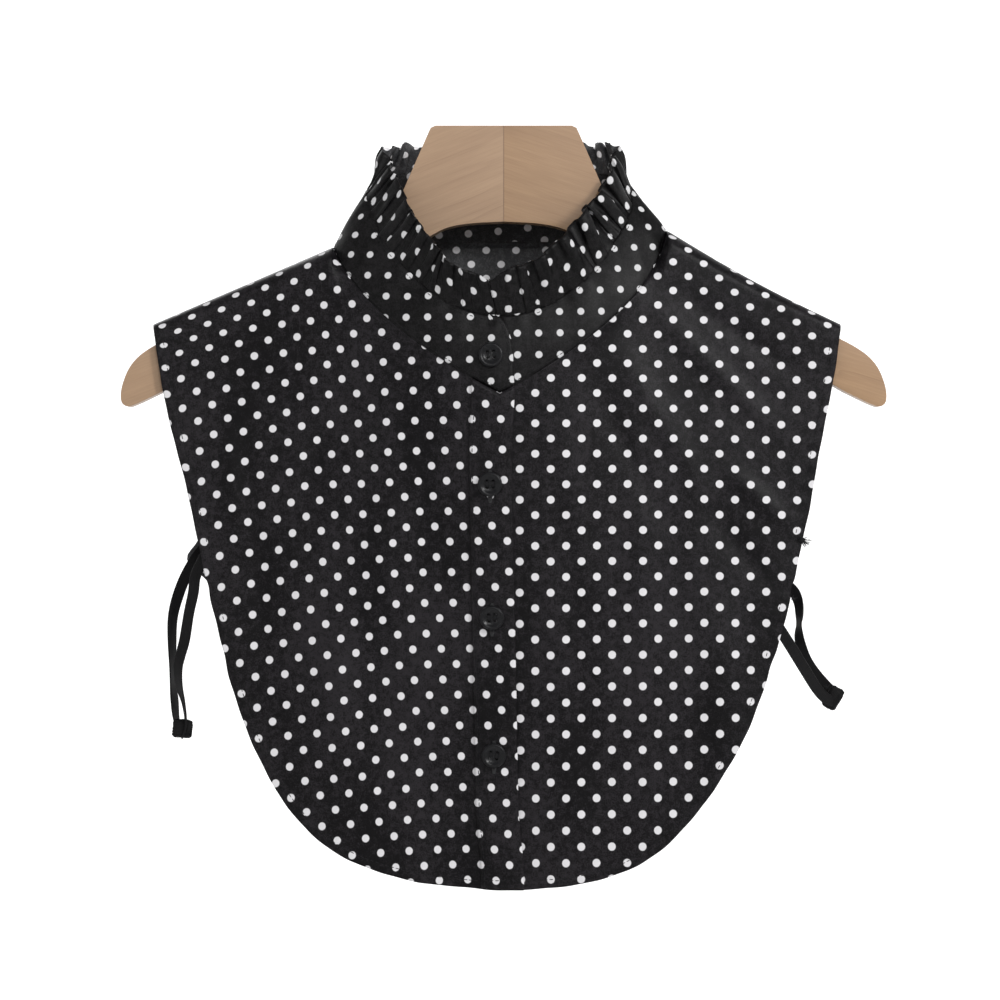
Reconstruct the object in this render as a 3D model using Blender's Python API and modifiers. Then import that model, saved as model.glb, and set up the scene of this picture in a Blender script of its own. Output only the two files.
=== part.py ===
"""A detachable shirt collar, buttoned at the front, with a ruffled stand, on a wooden hanger.

Metres, +Z up. The front faces -Y, and the wearer's right side is at -X.
The origin is at the middle of the hanger's neck plate, on its top edge.
Heights are given as a drop below that edge, so z is minus the drop.
"""

import math

import bmesh
import bpy
import numpy as np
from mathutils import Matrix, Vector

# Cloth
WALL = 0.0010
SEAM_GAP = 0.0003
LAP_STEP = 0.0016  # from the middle of one lapped layer to the middle of the next
SHARP_ANGLE = math.radians(40)
MERGE_DISTANCE = 0.00001

# Neck seam, where the stand meets the panels: half width and depth in plan, and drops
NECK_X = -0.0019
BASE_HALF_WIDTH = 0.0875
BASE_FRONT_DEPTH = 0.034
BASE_BACK_DEPTH = 0.028
BASE_FRONT_DROP = 0.1422
BASE_SIDE_DROP = 0.0636
BASE_BACK_DROP = 0.0612
BASE_V_POWER = 1.5
BASE_V_FULLNESS = 0.6

# The neck seam slants, so the panels start this far below it to stay a seam gap from the stand.
# At the neck's sides they meet the stand at a corner, and their walls need this much more room.
NECK_SEAM_DOWN = 0.0006
SIDE_SEAM_OUT = 0.0010
SIDE_SEAM_DOWN = 0.0003

# Upper edge of the stand, where the ruffle is sewn on
TOP_HALF_WIDTH = 0.070
TOP_FRONT_DEPTH = 0.032
TOP_BACK_DEPTH = 0.027
TOP_FRONT_DROP = 0.1017
TOP_BACK_DROP = 0.0197
TOP_RISE_ANGLE = 72.0  # degrees from the front by which most of the rise is done
TOP_RISE_POWER = 2.1
STAND_BULGE = 0.0012
STAND_ROWS = 4

# Angles round the neck, in degrees from the centre front towards the wearer's right
NECK_STEP = 7.5
UPPER_END = -4.8
UNDER_END = 360.0 + 9.7
END_SPAN = 12.0  # the rounding of the stand's two ends takes this much of the ring
TOP_END_INSET = 7.0
ROUNDING_STARTS = 0.45
UPPER_LAP_FADES = (8.0, 34.0)
UNDER_LAP_GROWS = (326.0, 352.0)

# Ruffle
RUFFLE_WAVES = 50
STEPS_PER_WAVE = 6
RUFFLE_ROWS = 2
RUFFLE_SWING = 0.0015
SEAM_SWING = 0.00025
RUFFLE_GAP = 0.0011
SWING_PER_SQUARE = 30.0  # largest swing for a wave, in metres for each square metre of its length
RUFFLE_SAMPLES = 720
FRAME_STEP = 0.5  # degrees between the points that give the ruffle's direction
# angle round the neck, height of the strip, and the way it stands: to the left, to the back, up
RUFFLE_LEAN = (
    (-10, 0.0222, 0.05, -0.35, 0.94),
    (8, 0.0222, -0.07, -0.25, 0.97),
    (20, 0.0220, 0.10, -0.33, 0.94),
    (40, 0.0215, 0.51, -0.36, 0.78),
    (60, 0.0215, 0.68, -0.22, 0.70),
    (75, 0.0212, 0.71, -0.20, 0.67),
    (90, 0.0208, 0.66, -0.06, 0.74),
    (105, 0.0200, 0.48, 0.10, 0.87),
    (120, 0.0194, 0.33, 0.30, 0.89),
    (150, 0.0190, 0.08, 0.50, 0.86),
    (180, 0.0190, 0.00, 0.52, 0.85),
    (210, 0.0190, -0.03, 0.50, 0.87),
    (230, 0.0194, -0.09, 0.38, 0.92),
    (250, 0.0198, -0.30, 0.20, 0.93),
    (270, 0.0206, -0.55, 0.02, 0.83),
    (285, 0.0214, -0.68, -0.15, 0.71),
    (300, 0.0232, -0.68, -0.20, 0.71),
    (315, 0.0244, -0.64, -0.24, 0.73),
    (330, 0.0246, -0.38, -0.28, 0.88),
    (345, 0.0246, -0.24, -0.26, 0.94),
    (358, 0.0246, -0.13, -0.22, 0.97),
    (372, 0.0240, -0.08, -0.25, 0.96),
)

# Panels: how far the cloth hangs from the hanger's middle plane
FRONT_NECK_OFF = 0.034
FRONT_HEM_OFF = 0.018
BACK_NECK_OFF = 0.028
BACK_HEM_OFF = 0.016
EDGE_OFF = 0.009
EDGE_HEM_OFF = 0.012
NECK_SPREAD = 0.080
HEM_SPREAD = 0.130
SHOULDER_TURN = 0.0085
TIP_TURN = 0.0050
NECK_TURN = 0.025
SHOULDER_COLUMNS = 8
ROW_LENGTH = 0.270
TURN_ROWS = (0.0, 0.0003, 0.0013, 0.0034, 0.0085)
HANGING_ROWS = 14
HEM_DROP = 0.4020

# Outline of the panels, a row for each height, from shoulder tip to hem
# drop, reach to the wearer's right, reach to the wearer's left
OUTLINE = (
    (0.1048, 0.1851, 0.1780),
    (0.1408, 0.1794, 0.1726),
    (0.1708, 0.1722, 0.1666),
    (0.2093, 0.1629, 0.1594),
    (0.2519, 0.1538, 0.1501),
    (0.2970, 0.1422, 0.1369),
    (0.3290, 0.1305, 0.1226),
    (0.3578, 0.1137, 0.1047),
    (0.3818, 0.0895, 0.0815),
    (0.3969, 0.0490, 0.0506),
)
HEM_MIDDLE_X = 0.0010
CORNER_ROW = 7  # the side of a panel's grid ends here and its hem begins
SPLINE_STEPS = 12

# Soft folds that show from a step away
# middle at the neck, middle at the hem, half width, depth, drop where it starts, drop where it is full
FRONT_FOLDS = (
    (-0.0330, -0.0200, 0.013, -0.0022, 0.150, 0.230),
    (0.0560, 0.1450, 0.020, 0.0020, 0.100, 0.160),
    (0.0900, 0.1900, 0.016, 0.0014, 0.110, 0.180),
    (-0.1150, -0.0800, 0.024, 0.0016, 0.130, 0.220),
)
BACK_FOLDS = (
    (-0.0500, -0.0900, 0.020, 0.0020, 0.090, 0.180),
    (0.0400, 0.0800, 0.018, 0.0018, 0.090, 0.180),
)

# Placket
PLACKET_TOP_X = -0.0056
PLACKET_BOTTOM_X = -0.0005
PLACKET_WIDTH = 0.0222
PLACKET_COLUMNS = 3
PLACKET_ROWS = 18
PLACKET_STEP = 0.0014  # from the middle of the right front's cloth to the middle of the band
PLACKET_TOP_GAP = 0.0008
PLACKET_HEM_INSET = 0.0008
LAP_FADE_STARTS = 0.003  # beyond the band's edge
LAP_FADE_ENDS = 0.020

# Buttons
BUTTON_RADIUS = 0.00635
BUTTON_SIDES = 20
BUTTON_HOLE_RADIUS = 0.0008
BUTTON_HOLE_PITCH = 0.0032
BUTTON_HOLE_SIDES = 8
BUTTON_CUT_DEPTH = 0.010
BUTTON_SEAT = 0.0004  # from the cloth's face to the button's back
BUTTON_REACH = 0.004  # half the span over which the cloth's slope is taken
# x, drop
STAND_BUTTON = (-0.0070, 0.1226)
PLACKET_BUTTONS = ((-0.0070, 0.1894), (-0.0060, 0.2588), (-0.0050, 0.3307))
# radius, height above the cloth, from the middle of the face to the middle of the back
BUTTON_PROFILE = (
    (0.0, 0.0015),
    (0.0036, 0.0015),
    (0.0044, 0.0022),
    (0.0055, 0.0026),
    (BUTTON_RADIUS, 0.0018),
    (BUTTON_RADIUS, 0.0010),
    (0.0052, 0.0),
    (0.0, 0.0),
)

# Side tapes
TAPE_WIDTH = 0.0060
TAPE_THICKNESS = 0.0010
TAPE_GAP = 0.0007  # from the cloth's inner face to the tape
TAPE_STEPS = 3
# x, y, drop, and the way the tape's face looks, in degrees: 0 to the front, 90 to the side, 180 to the back
TAPE_RIGHT = (
    (-0.1513, None, 0.2189, 0),
    (-0.1572, None, 0.2274, 0),
    (-0.1625, -0.0066, 0.2375, 10),
    (-0.1638, -0.0060, 0.2465, 15),
    (-0.1662, -0.0055, 0.2576, 20),
    (-0.1685, -0.0050, 0.2714, 15),
    (-0.1707, -0.0048, 0.2799, 25),
    (-0.1720, -0.0046, 0.2867, 35),
    (-0.1715, -0.0042, 0.2958, 50),
    (-0.1693, -0.0032, 0.3053, 70),
    (-0.1683, -0.0020, 0.3143, 78),
    (-0.1693, -0.0008, 0.3205, 85),
    (-0.1715, 0.0008, 0.3207, 95),
    (-0.1738, 0.0022, 0.3132, 115),
    (-0.1748, 0.0034, 0.3037, 125),
    (-0.1758, 0.0042, 0.2942, 110),
    (-0.1760, 0.0046, 0.2852, 115),
    (-0.1762, 0.0048, 0.2746, 130),
    (-0.1762, 0.0052, 0.2640, 140),
    (-0.1752, 0.0056, 0.2560, 150),
    (-0.1725, 0.0062, 0.2465, 170),
    (-0.1688, 0.0068, 0.2375, 175),
    (-0.1630, 0.0076, 0.2274, 180),
    (-0.1575, None, 0.2210, 180),
    (-0.1520, None, 0.2160, 180),
)
TAPE_LEFT = (
    (0.1386, None, 0.2560, 0),
    (0.1444, None, 0.2645, 0),
    (0.1502, -0.0078, 0.2730, 5),
    (0.1545, -0.0070, 0.2799, 10),
    (0.1587, -0.0062, 0.2867, 15),
    (0.1651, -0.0050, 0.2968, 20),
    (0.1698, -0.0040, 0.3021, 30),
    (0.1742, -0.0020, 0.3040, 60),
    (0.1762, 0.0006, 0.3026, 90),
    (0.1748, 0.0030, 0.2996, 125),
    (0.1709, 0.0042, 0.2960, 155),
    (0.1651, 0.0046, 0.2893, 165),
    (0.1608, 0.0048, 0.2826, 165),
    (0.1582, 0.0050, 0.2756, 155),
    (0.1571, 0.0052, 0.2698, 135),
    (0.1571, 0.0054, 0.2640, 108),
    (0.1574, 0.0058, 0.2587, 125),
    (0.1569, 0.0064, 0.2523, 140),
    (0.1545, 0.0074, 0.2465, 160),
    (0.1492, None, 0.2417, 180),
    (0.1439, None, 0.2390, 180),
)

# Hanger, half of its outline: reach from the middle, drop
HANGER_THICKNESS = 0.0120
HANGER_ROUND = 0.0042
HANGER_ROUND_SEGMENTS = 3
HANGER_EDGE_ANGLE = math.radians(60)
HANGER_STEPS = 2
HANGER_TOP = ((0.0, 0.0), (0.0360, 0.0), (0.0385, 0.0012), (0.0398, 0.0040), (0.0520, 0.0320))
HANGER_ARM = (
    (0.0520, 0.0320),
    (0.0565, 0.0420),
    (0.0640, 0.0545),
    (0.0780, 0.0668),
    (0.0875, 0.0722),
    (0.1000, 0.0746),
    (0.1100, 0.0777),
    (0.1320, 0.0892),
    (0.1590, 0.1035),
    (0.1850, 0.1165),
    (0.1960, 0.1255),
    (0.2012, 0.1365),
    (0.2020, 0.1450),
    (0.1990, 0.1482),
    (0.1940, 0.1470),
    (0.1803, 0.1405),
)
HANGER_ARCH = ((0.0378, 0.0578), (0.0300, 0.0540), (0.0180, 0.0517), (0.0, 0.0507))
HOOK_BORE_RADIUS = 0.0020
HOOK_BORE_DEPTH = 0.018
HOOK_BORE_SIDES = 12

# Colours, roughness
CLOTH_BLACK = ((0.020, 0.020, 0.022), 0.85)
BUTTON_BLACK = ((0.012, 0.012, 0.013), 0.35)
TAPE_BLACK = ((0.010, 0.010, 0.011), 0.75)
PALE_WOOD = ((0.50, 0.35, 0.22), 0.55)


def smooth_step(low, high, value):
    """0 below low, 1 above high, and a smooth rise between them."""
    share = min(max((value - low) / (high - low), 0.0), 1.0)
    return share * share * (3.0 - 2.0 * share)


def turned_from_front(angle):
    """The angle from the centre front, 0 to 180 degrees, whichever way round."""
    return abs((angle + 180.0) % 360.0 - 180.0)


def lap_offset(angle):
    """How far the stand lies outside or inside its ring where its two ends lap."""
    upper = 1.0 - smooth_step(*UPPER_LAP_FADES, angle)
    under = smooth_step(*UNDER_LAP_GROWS, angle)
    return 0.5 * LAP_STEP * (upper - under)


def ring_in_plan(angle, half_width, front_depth, back_depth, outward):
    """x and y of a neck ring at an angle, moved outward by a distance."""
    turn = math.radians(angle)
    depth = front_depth if turned_from_front(angle) < 90.0 else back_depth
    normal = Vector((-math.sin(turn) / half_width, -math.cos(turn) / depth)).normalized()
    x = NECK_X - half_width * math.sin(turn) + outward * normal.x
    y = -depth * math.cos(turn) + outward * normal.y
    return x, y


def base_drop(angle):
    """Drop of the neck seam: a soft V at the centre front, nearly level round the back."""
    turned = turned_from_front(angle) / 90.0
    if turned >= 1.0:
        return BASE_SIDE_DROP + (BASE_BACK_DROP - BASE_SIDE_DROP) * (turned - 1.0)
    share = (1.0 - turned) ** BASE_V_POWER * (1.0 + BASE_V_FULLNESS * turned)
    return BASE_SIDE_DROP + (BASE_FRONT_DROP - BASE_SIDE_DROP) * share


def top_drop(angle):
    """Drop of the stand's upper edge: low at the front, rising round the sides."""
    rise = 1.0 - math.exp(-((turned_from_front(angle) / TOP_RISE_ANGLE) ** TOP_RISE_POWER))
    return TOP_FRONT_DROP + (TOP_BACK_DROP - TOP_FRONT_DROP) * rise


def base_ring(angle, outward=0.0):
    x, y = ring_in_plan(angle, BASE_HALF_WIDTH, BASE_FRONT_DEPTH, BASE_BACK_DEPTH, outward)
    return Vector((x, y, -base_drop(angle)))


def top_ring(angle, outward=0.0):
    x, y = ring_in_plan(angle, TOP_HALF_WIDTH, TOP_FRONT_DEPTH, TOP_BACK_DEPTH, outward)
    return Vector((x, y, -top_drop(angle)))


def stand_point(angle, height):
    """A point on the stand: height runs from 0 at the neck seam to 1 at its upper edge."""
    outward = lap_offset(angle) + STAND_BULGE * 4.0 * height * (1.0 - height)
    return base_ring(angle, outward).lerp(top_ring(angle, outward), height)


def rounded_end(height):
    """How far the stand's end has drawn back, in degrees, where its top corner is rounded."""
    share = max(0.0, (height - ROUNDING_STARTS) / (1.0 - ROUNDING_STARTS))
    return TOP_END_INSET * (1.0 - math.sqrt(1.0 - share * share))


def drawn_back(angle, height):
    """The angle of a column of the stand once its two ends are rounded off."""
    inset = rounded_end(height)
    from_upper = angle - UPPER_END
    from_under = UNDER_END - angle
    if from_upper < END_SPAN:
        return angle + inset * (1.0 - from_upper / END_SPAN)
    if from_under < END_SPAN:
        return angle - inset * (1.0 - from_under / END_SPAN)
    return angle


def neck_angles(first, last):
    """The stand's columns between two angles: one every step, and one at each end."""
    count = int(math.floor((last - first) / NECK_STEP))
    start = math.ceil(first / NECK_STEP - 1e-6) * NECK_STEP
    inner = [start + NECK_STEP * i for i in range(count + 1)]
    inner = [angle for angle in inner if first + 1.0 < angle < last - 1.0]
    return [first, *inner, last]


def through(points, steps):
    """Points on a smooth curve through the given ones, with some steps between each two."""
    rows = [np.array(p, float) for p in points]
    rows = [2.0 * rows[0] - rows[1], *rows, 2.0 * rows[-1] - rows[-2]]
    found = []
    for before, start, end, after in zip(rows, rows[1:], rows[2:], rows[3:]):
        for step in range(steps):
            t = step / steps
            bend = 2.0 * before - 5.0 * start + 4.0 * end - after
            twist = -before + 3.0 * start - 3.0 * end + after
            found.append(0.5 * (2.0 * start + (end - before) * t + bend * t * t + twist * t ** 3))
    found.append(rows[-2])
    return np.array(found)


def at_shares(line, shares):
    """Points on a line of points, at shares of its length."""
    lengths = np.linalg.norm(np.diff(line, axis=0), axis=1)
    along = np.concatenate(([0.0], np.cumsum(lengths))) / lengths.sum()
    return np.stack([np.interp(shares, along, line[:, k]) for k in range(line.shape[1])], axis=1)


def share_of_length(line):
    """For each point of a line, its share of the line's length."""
    lengths = np.linalg.norm(np.diff(line, axis=0), axis=1)
    return np.concatenate(([0.0], np.cumsum(lengths))) / lengths.sum()


def whole_outline():
    """The outline (x, drop) from the right shoulder tip round to the left tip, and its two corners."""
    right = [(-reach, drop) for drop, reach, _ in OUTLINE]
    left = [(reach, drop) for drop, _, reach in OUTLINE]
    line = through([*right, (HEM_MIDDLE_X, HEM_DROP), *reversed(left)], SPLINE_STEPS)
    corner = CORNER_ROW * SPLINE_STEPS
    return line, corner, len(line) - 1 - corner


def placket_middle(drop):
    """x of the placket's middle line at a drop."""
    share = (drop - BASE_FRONT_DROP) / (HEM_DROP - BASE_FRONT_DROP)
    return PLACKET_TOP_X + (PLACKET_BOTTOM_X - PLACKET_TOP_X) * share


def fold_depth(x, drop, folds):
    """What the soft folds add to the cloth's distance from the hanger."""
    total = 0.0
    for at_neck, at_hem, half_width, depth, starts, full in folds:
        share = (drop - BASE_SIDE_DROP) / (HEM_DROP - BASE_SIDE_DROP)
        middle = at_neck + (at_hem - at_neck) * share
        total += depth * math.exp(-(((x - middle) / half_width) ** 2)) * smooth_step(starts, full, drop)
    return total


def hanging_off(x, drop, front):
    """How far the hanging cloth is from the hanger's middle plane."""
    down = min(max((drop - BASE_FRONT_DROP) / (HEM_DROP - BASE_FRONT_DROP), 0.0), 1.0)
    at_neck = FRONT_NECK_OFF if front else BACK_NECK_OFF
    at_hem = FRONT_HEM_OFF if front else BACK_HEM_OFF
    middle = at_neck + (at_hem - at_neck) * down
    edge = EDGE_OFF + (EDGE_HEM_OFF - EDGE_OFF) * down
    spread = NECK_SPREAD + (HEM_SPREAD - NECK_SPREAD) * down
    across = math.exp(-(((x - NECK_X) / spread) ** 2))
    folds = fold_depth(x, drop, FRONT_FOLDS if front else BACK_FOLDS)
    return edge + (middle - edge) * across + folds


def front_lift(x, drop, upper):
    """The two fronts part by one lap step where they cross, and join one surface further out."""
    beyond = abs(x - placket_middle(drop)) - 0.5 * PLACKET_WIDTH
    share = 1.0 - smooth_step(LAP_FADE_STARTS, LAP_FADE_ENDS, beyond)
    return 0.5 * LAP_STEP * share * (1.0 if upper else -1.0)


def neck_edge(angles, side):
    """The panels' neck edge, just below the stand: rows of (x, drop, y, turn)."""
    rows = []
    for angle in angles:
        turned = math.radians(turned_from_front(angle))
        corner = math.sin(turned) ** 2
        point = base_ring(angle * side, SIDE_SEAM_OUT * corner)
        gap = NECK_SEAM_DOWN + SIDE_SEAM_DOWN * corner
        turn = SHOULDER_TURN + NECK_TURN * abs(math.cos(turned))
        rows.append((point.x, -point.z + gap, point.y, turn))
    return rows


def shoulder_edge(side):
    """The shoulder seam, from just past the neck point to the tip: rows of (x, drop, y, turn)."""
    start = base_ring(90.0 * side, SIDE_SEAM_OUT)
    start_drop = BASE_SIDE_DROP + NECK_SEAM_DOWN + SIDE_SEAM_DOWN
    drop, reach_right, reach_left = OUTLINE[0]
    tip_x = -reach_right if side > 0 else reach_left
    rows = []
    for step in range(1, SHOULDER_COLUMNS + 1):
        share = step / SHOULDER_COLUMNS
        x = start.x + (tip_x - start.x) * share
        here = start_drop + (drop - start_drop) * share
        rows.append((x, here, 0.0, SHOULDER_TURN + (TIP_TURN - SHOULDER_TURN) * share))
    return rows


def row_shares():
    """The panels' rows as shares of their length: close together at the shoulder's turn."""
    turn = [depth / ROW_LENGTH for depth in TURN_ROWS]
    rest = [turn[-1] + (1.0 - turn[-1]) * (i + 1) / HANGING_ROWS for i in range(HANGING_ROWS)]
    return np.array([*turn, *rest])


def filled_patch(top, bottom, first_side, last_side, across, down):
    """A grid of (x, drop) between four edges that meet at its corners."""
    grid = np.zeros((len(down), len(across), 2))
    for i, v in enumerate(down):
        for j, u in enumerate(across):
            sides = (1 - u) * first_side[i] + u * last_side[i]
            ends = (1 - v) * top[j] + v * bottom[j]
            top_chord = (1 - u) * top[0] + u * top[-1]
            bottom_chord = (1 - u) * bottom[0] + u * bottom[-1]
            corners = (1 - v) * top_chord + v * bottom_chord
            grid[i, j] = sides + ends - corners
    return grid


def turned_over(drop_below, turn):
    """Share of the full stand-off that the cloth has reached, a quarter round below its upper edge."""
    left = 1.0 - min(drop_below / turn, 1.0)
    return math.sqrt(1.0 - left * left)


def panel_points(top_rows, grid, front, lift):
    """The panel's points in space, from its grid and from the depth of its upper edge."""
    points = np.zeros((*grid.shape[:2], 3))
    seam = SEAM_GAP * 0.5
    sign = -1.0 if front else 1.0
    for j, (_, _, edge_y, turn) in enumerate(top_rows):
        for i in range(grid.shape[0]):
            x, drop = grid[i, j]
            below = float(np.linalg.norm(grid[i, j] - grid[0, j]))
            share = turned_over(below, turn)
            off = max(abs(edge_y), seam) * (1.0 - share) + hanging_off(x, drop, front) * share
            points[i, j] = (x, sign * (off + lift(x, drop)), -drop)
    return points


def front_panel(side, upper):
    """Points of one front, its rows running down from the neck and shoulder edge."""
    first = UPPER_END if upper else 360.0 - UNDER_END
    top_rows = neck_edge(neck_angles(first, 90.0), side) + shoulder_edge(side)
    top = np.array([row[:2] for row in top_rows])
    outline, right_corner, left_corner = whole_outline()
    down = row_shares()
    across = share_of_length(top)
    hem_x = placket_middle(HEM_DROP) + 0.5 * PLACKET_WIDTH * side
    if side > 0:
        armhole = outline[: right_corner + 1]
        hem = outline[right_corner:]
        hem = hem[hem[:, 0] < hem_x]
    else:
        armhole = outline[left_corner:][::-1]
        hem = outline[: left_corner + 1][::-1]
        hem = hem[hem[:, 0] > hem_x]
    hem = np.vstack([hem, (hem_x, hem[-1, 1])])[::-1]
    centre_line = np.array([top[0], hem[0]])
    bottom = at_shares(hem, across)
    first_side = at_shares(centre_line, down)
    last_side = at_shares(armhole, down)
    grid = filled_patch(top, bottom, first_side, last_side, across, down)
    return panel_points(top_rows, grid, True, lambda x, drop: front_lift(x, drop, upper))


def back_panel():
    """Points of the back, its rows running down from tip to tip across the neck."""
    neck = neck_edge(neck_angles(90.0, 270.0), 1.0)
    right = shoulder_edge(1.0)
    left = shoulder_edge(-1.0)
    top_rows = [*reversed(right), *neck, *left]
    top = np.array([row[:2] for row in top_rows])
    outline, right_corner, left_corner = whole_outline()
    down = row_shares()
    across = share_of_length(top)
    bottom = at_shares(outline[right_corner : left_corner + 1], across)
    first_side = at_shares(outline[: right_corner + 1], down)
    last_side = at_shares(outline[left_corner:][::-1], down)
    grid = filled_patch(top, bottom, first_side, last_side, across, down)
    return panel_points(top_rows, grid, False, lambda x, drop: 0.0)


def placket_surface(x, drop):
    """The middle of the placket band's cloth at a place on the front."""
    off = hanging_off(x, drop, True) + front_lift(x, drop, True) + PLACKET_STEP
    return Vector((x, -off, -drop))


def placket_points():
    """The placket band: the right front's own surface, moved out by one lap step."""
    down = np.linspace(0.0, 1.0, PLACKET_ROWS)
    points = np.zeros((len(down), PLACKET_COLUMNS + 1, 3))
    for j in range(PLACKET_COLUMNS + 1):
        offset = PLACKET_WIDTH * (j / PLACKET_COLUMNS - 0.5)
        x_top = PLACKET_TOP_X + offset
        angle = math.degrees(math.asin((NECK_X - x_top) / BASE_HALF_WIDTH))
        drop_top = base_drop(angle) + PLACKET_TOP_GAP
        x_hem = PLACKET_BOTTOM_X + offset
        for i, share in enumerate(down):
            drop = drop_top + (HEM_DROP - PLACKET_HEM_INSET - drop_top) * share
            points[i, j] = placket_surface(x_top + (x_hem - x_top) * share, drop)
    return points


def stand_points():
    """The stand's points, rows from the neck seam up, columns round the neck."""
    angles = neck_angles(UPPER_END, UNDER_END)
    points = np.zeros((STAND_ROWS + 1, len(angles), 3))
    for i in range(STAND_ROWS + 1):
        height = i / STAND_ROWS
        for j, angle in enumerate(angles):
            points[i, j] = stand_point(drawn_back(angle, height), height)
    return points


def ruffle_lean(angle):
    """At an angle round the neck: the height of the ruffle's strip and the way it stands."""
    angles, heights, *ways = np.array(RUFFLE_LEAN).T
    way = Vector([np.interp(angle, angles, part) for part in ways])
    return float(np.interp(angle, angles, heights)), way.normalized()


def ruffle_frame(angle):
    """At an angle on the stand's upper edge: the point, from there up the ruffle, and the way out."""
    here = stand_point(angle, 1.0)
    along = (stand_point(angle + FRAME_STEP, 1.0) - stand_point(angle - FRAME_STEP, 1.0)).normalized()
    height, up = ruffle_lean(angle)
    out = up.cross(along).normalized()
    middle = Vector((NECK_X, 0.0, here.z))
    if out.dot(here - middle) < 0.0:
        out.negate()
    return here, up * height, out


def ruffle_points():
    """The gathered ruffle: rows from its seam up, its waves opening towards the free edge."""
    first = drawn_back(UPPER_END, 1.0)
    last = drawn_back(UNDER_END, 1.0)
    fine = np.linspace(first, last, RUFFLE_SAMPLES)
    frames = [ruffle_frame(angle) for angle in fine]
    middle_line = np.array([here + up * 0.5 for here, up, _ in frames])
    free_line = np.array([here + up for here, up, _ in frames])
    shares = np.linspace(0.0, 1.0, RUFFLE_WAVES * STEPS_PER_WAVE + 1)
    angles = np.interp(shares, share_of_length(middle_line), fine)
    free_spacing = np.linalg.norm(np.gradient(free_line, axis=0), axis=1) / np.gradient(fine)
    points = np.zeros((RUFFLE_ROWS + 1, len(shares), 3))
    spacing_here = np.interp(angles, fine, free_spacing) * np.gradient(angles)
    for j, angle in enumerate(angles):
        here, up, out = ruffle_frame(angle)
        wave_length = spacing_here[j] * STEPS_PER_WAVE
        largest = min(RUFFLE_SWING, SWING_PER_SQUARE * wave_length * wave_length)
        wave = math.sin(2.0 * math.pi * j / STEPS_PER_WAVE)
        for i in range(RUFFLE_ROWS + 1):
            height = i / RUFFLE_ROWS
            swing = min(SEAM_SWING, largest) * (1.0 - height) + largest * height
            gap = RUFFLE_GAP / up.length
            points[i, j] = here + up * (gap + height) + out * swing * wave
    return points


def new_collection(name):
    collection = bpy.data.collections.new(name)
    bpy.context.scene.collection.children.link(collection)
    return collection


def material(name, look):
    (red, green, blue), roughness = look
    made = bpy.data.materials.new(name)
    made.use_nodes = True
    shader = made.node_tree.nodes["Principled BSDF"]
    shader.inputs["Base Color"].default_value = (red, green, blue, 1.0)
    shader.inputs["Roughness"].default_value = roughness
    shader.inputs["Metallic"].default_value = 0.0
    return made


def add_object(name, data, look, collection):
    made = bpy.data.objects.new(name, data)
    data.materials.append(material(name, look))
    collection.objects.link(made)
    return made


def sheet_mesh(name, points, flip):
    """An open grid of faces through rows of points."""
    rows, columns = points.shape[:2]
    mesh = bpy.data.meshes.new(name)
    faces = []
    for i in range(rows - 1):
        for j in range(columns - 1):
            a = i * columns + j
            face = (a, a + 1, a + columns + 1, a + columns)
            faces.append(face[::-1] if flip else face)
    mesh.from_pydata(points.reshape(-1, 3).tolist(), [], faces)
    mesh.update()
    mesh.shade_smooth()
    return mesh


def cloth(name, points, flip, collection):
    """A cloth piece: its surface with a wall of even thickness."""
    piece = add_object(name, sheet_mesh(name, points, flip), CLOTH_BLACK, collection)
    wall = piece.modifiers.new("wall", "SOLIDIFY")
    wall.thickness = WALL
    wall.offset = 0.0
    wall.use_even_offset = False
    return piece


def evaluated_mesh(source):
    """The mesh an object has once its modifiers are applied."""
    bpy.context.view_layer.update()
    graph = bpy.context.evaluated_depsgraph_get()
    return bpy.data.meshes.new_from_object(source.evaluated_get(graph))


def button_cutter(collection):
    """Four round holes through a button that lies on the XY plane, facing +Z."""
    mesh = bpy.data.meshes.new("button_holes")
    shape = bmesh.new()
    half = BUTTON_HOLE_PITCH * 0.5
    for x in (-half, half):
        for y in (-half, half):
            bmesh.ops.create_cone(
                shape,
                cap_ends=True,
                segments=BUTTON_HOLE_SIDES,
                radius1=BUTTON_HOLE_RADIUS,
                radius2=BUTTON_HOLE_RADIUS,
                depth=BUTTON_CUT_DEPTH,
                matrix=Matrix.Translation((x, y, 0.0)),
            )
    shape.to_mesh(mesh)
    shape.free()
    cutter = bpy.data.objects.new("button_holes", mesh)
    cutter.hide_render = True
    cutter.display_type = "WIRE"
    collection.objects.link(cutter)
    return cutter


def button_mesh(collection, cutters):
    """A dished button with a rim and four holes, turned about Z, its back on the XY plane."""
    mesh = bpy.data.meshes.new("button")
    profile = [(radius, 0.0, height) for radius, height in BUTTON_PROFILE]
    mesh.from_pydata(profile, [(i, i + 1) for i in range(len(profile) - 1)], [])
    blank = bpy.data.objects.new("button_blank", mesh)
    collection.objects.link(blank)
    turning = blank.modifiers.new("turning", "SCREW")
    turning.steps = BUTTON_SIDES
    turning.render_steps = BUTTON_SIDES
    turning.use_merge_vertices = True
    turning.merge_threshold = MERGE_DISTANCE
    turning.use_normal_calculate = True
    holes = blank.modifiers.new("holes", "BOOLEAN")
    holes.operation = "DIFFERENCE"
    holes.object = button_cutter(cutters)
    finished = evaluated_mesh(blank)
    bpy.data.objects.remove(blank)
    return finished


def facing_out(origin, across, upward):
    """A placing matrix whose Z looks outward to the front from a surface point."""
    x_way = across.normalized()
    z_way = x_way.cross(upward.normalized()).normalized()
    y_way = z_way.cross(x_way)
    turn = Matrix((x_way, y_way, z_way)).transposed().to_4x4()
    return Matrix.Translation(origin + z_way * (0.5 * WALL + BUTTON_SEAT)) @ turn


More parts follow.
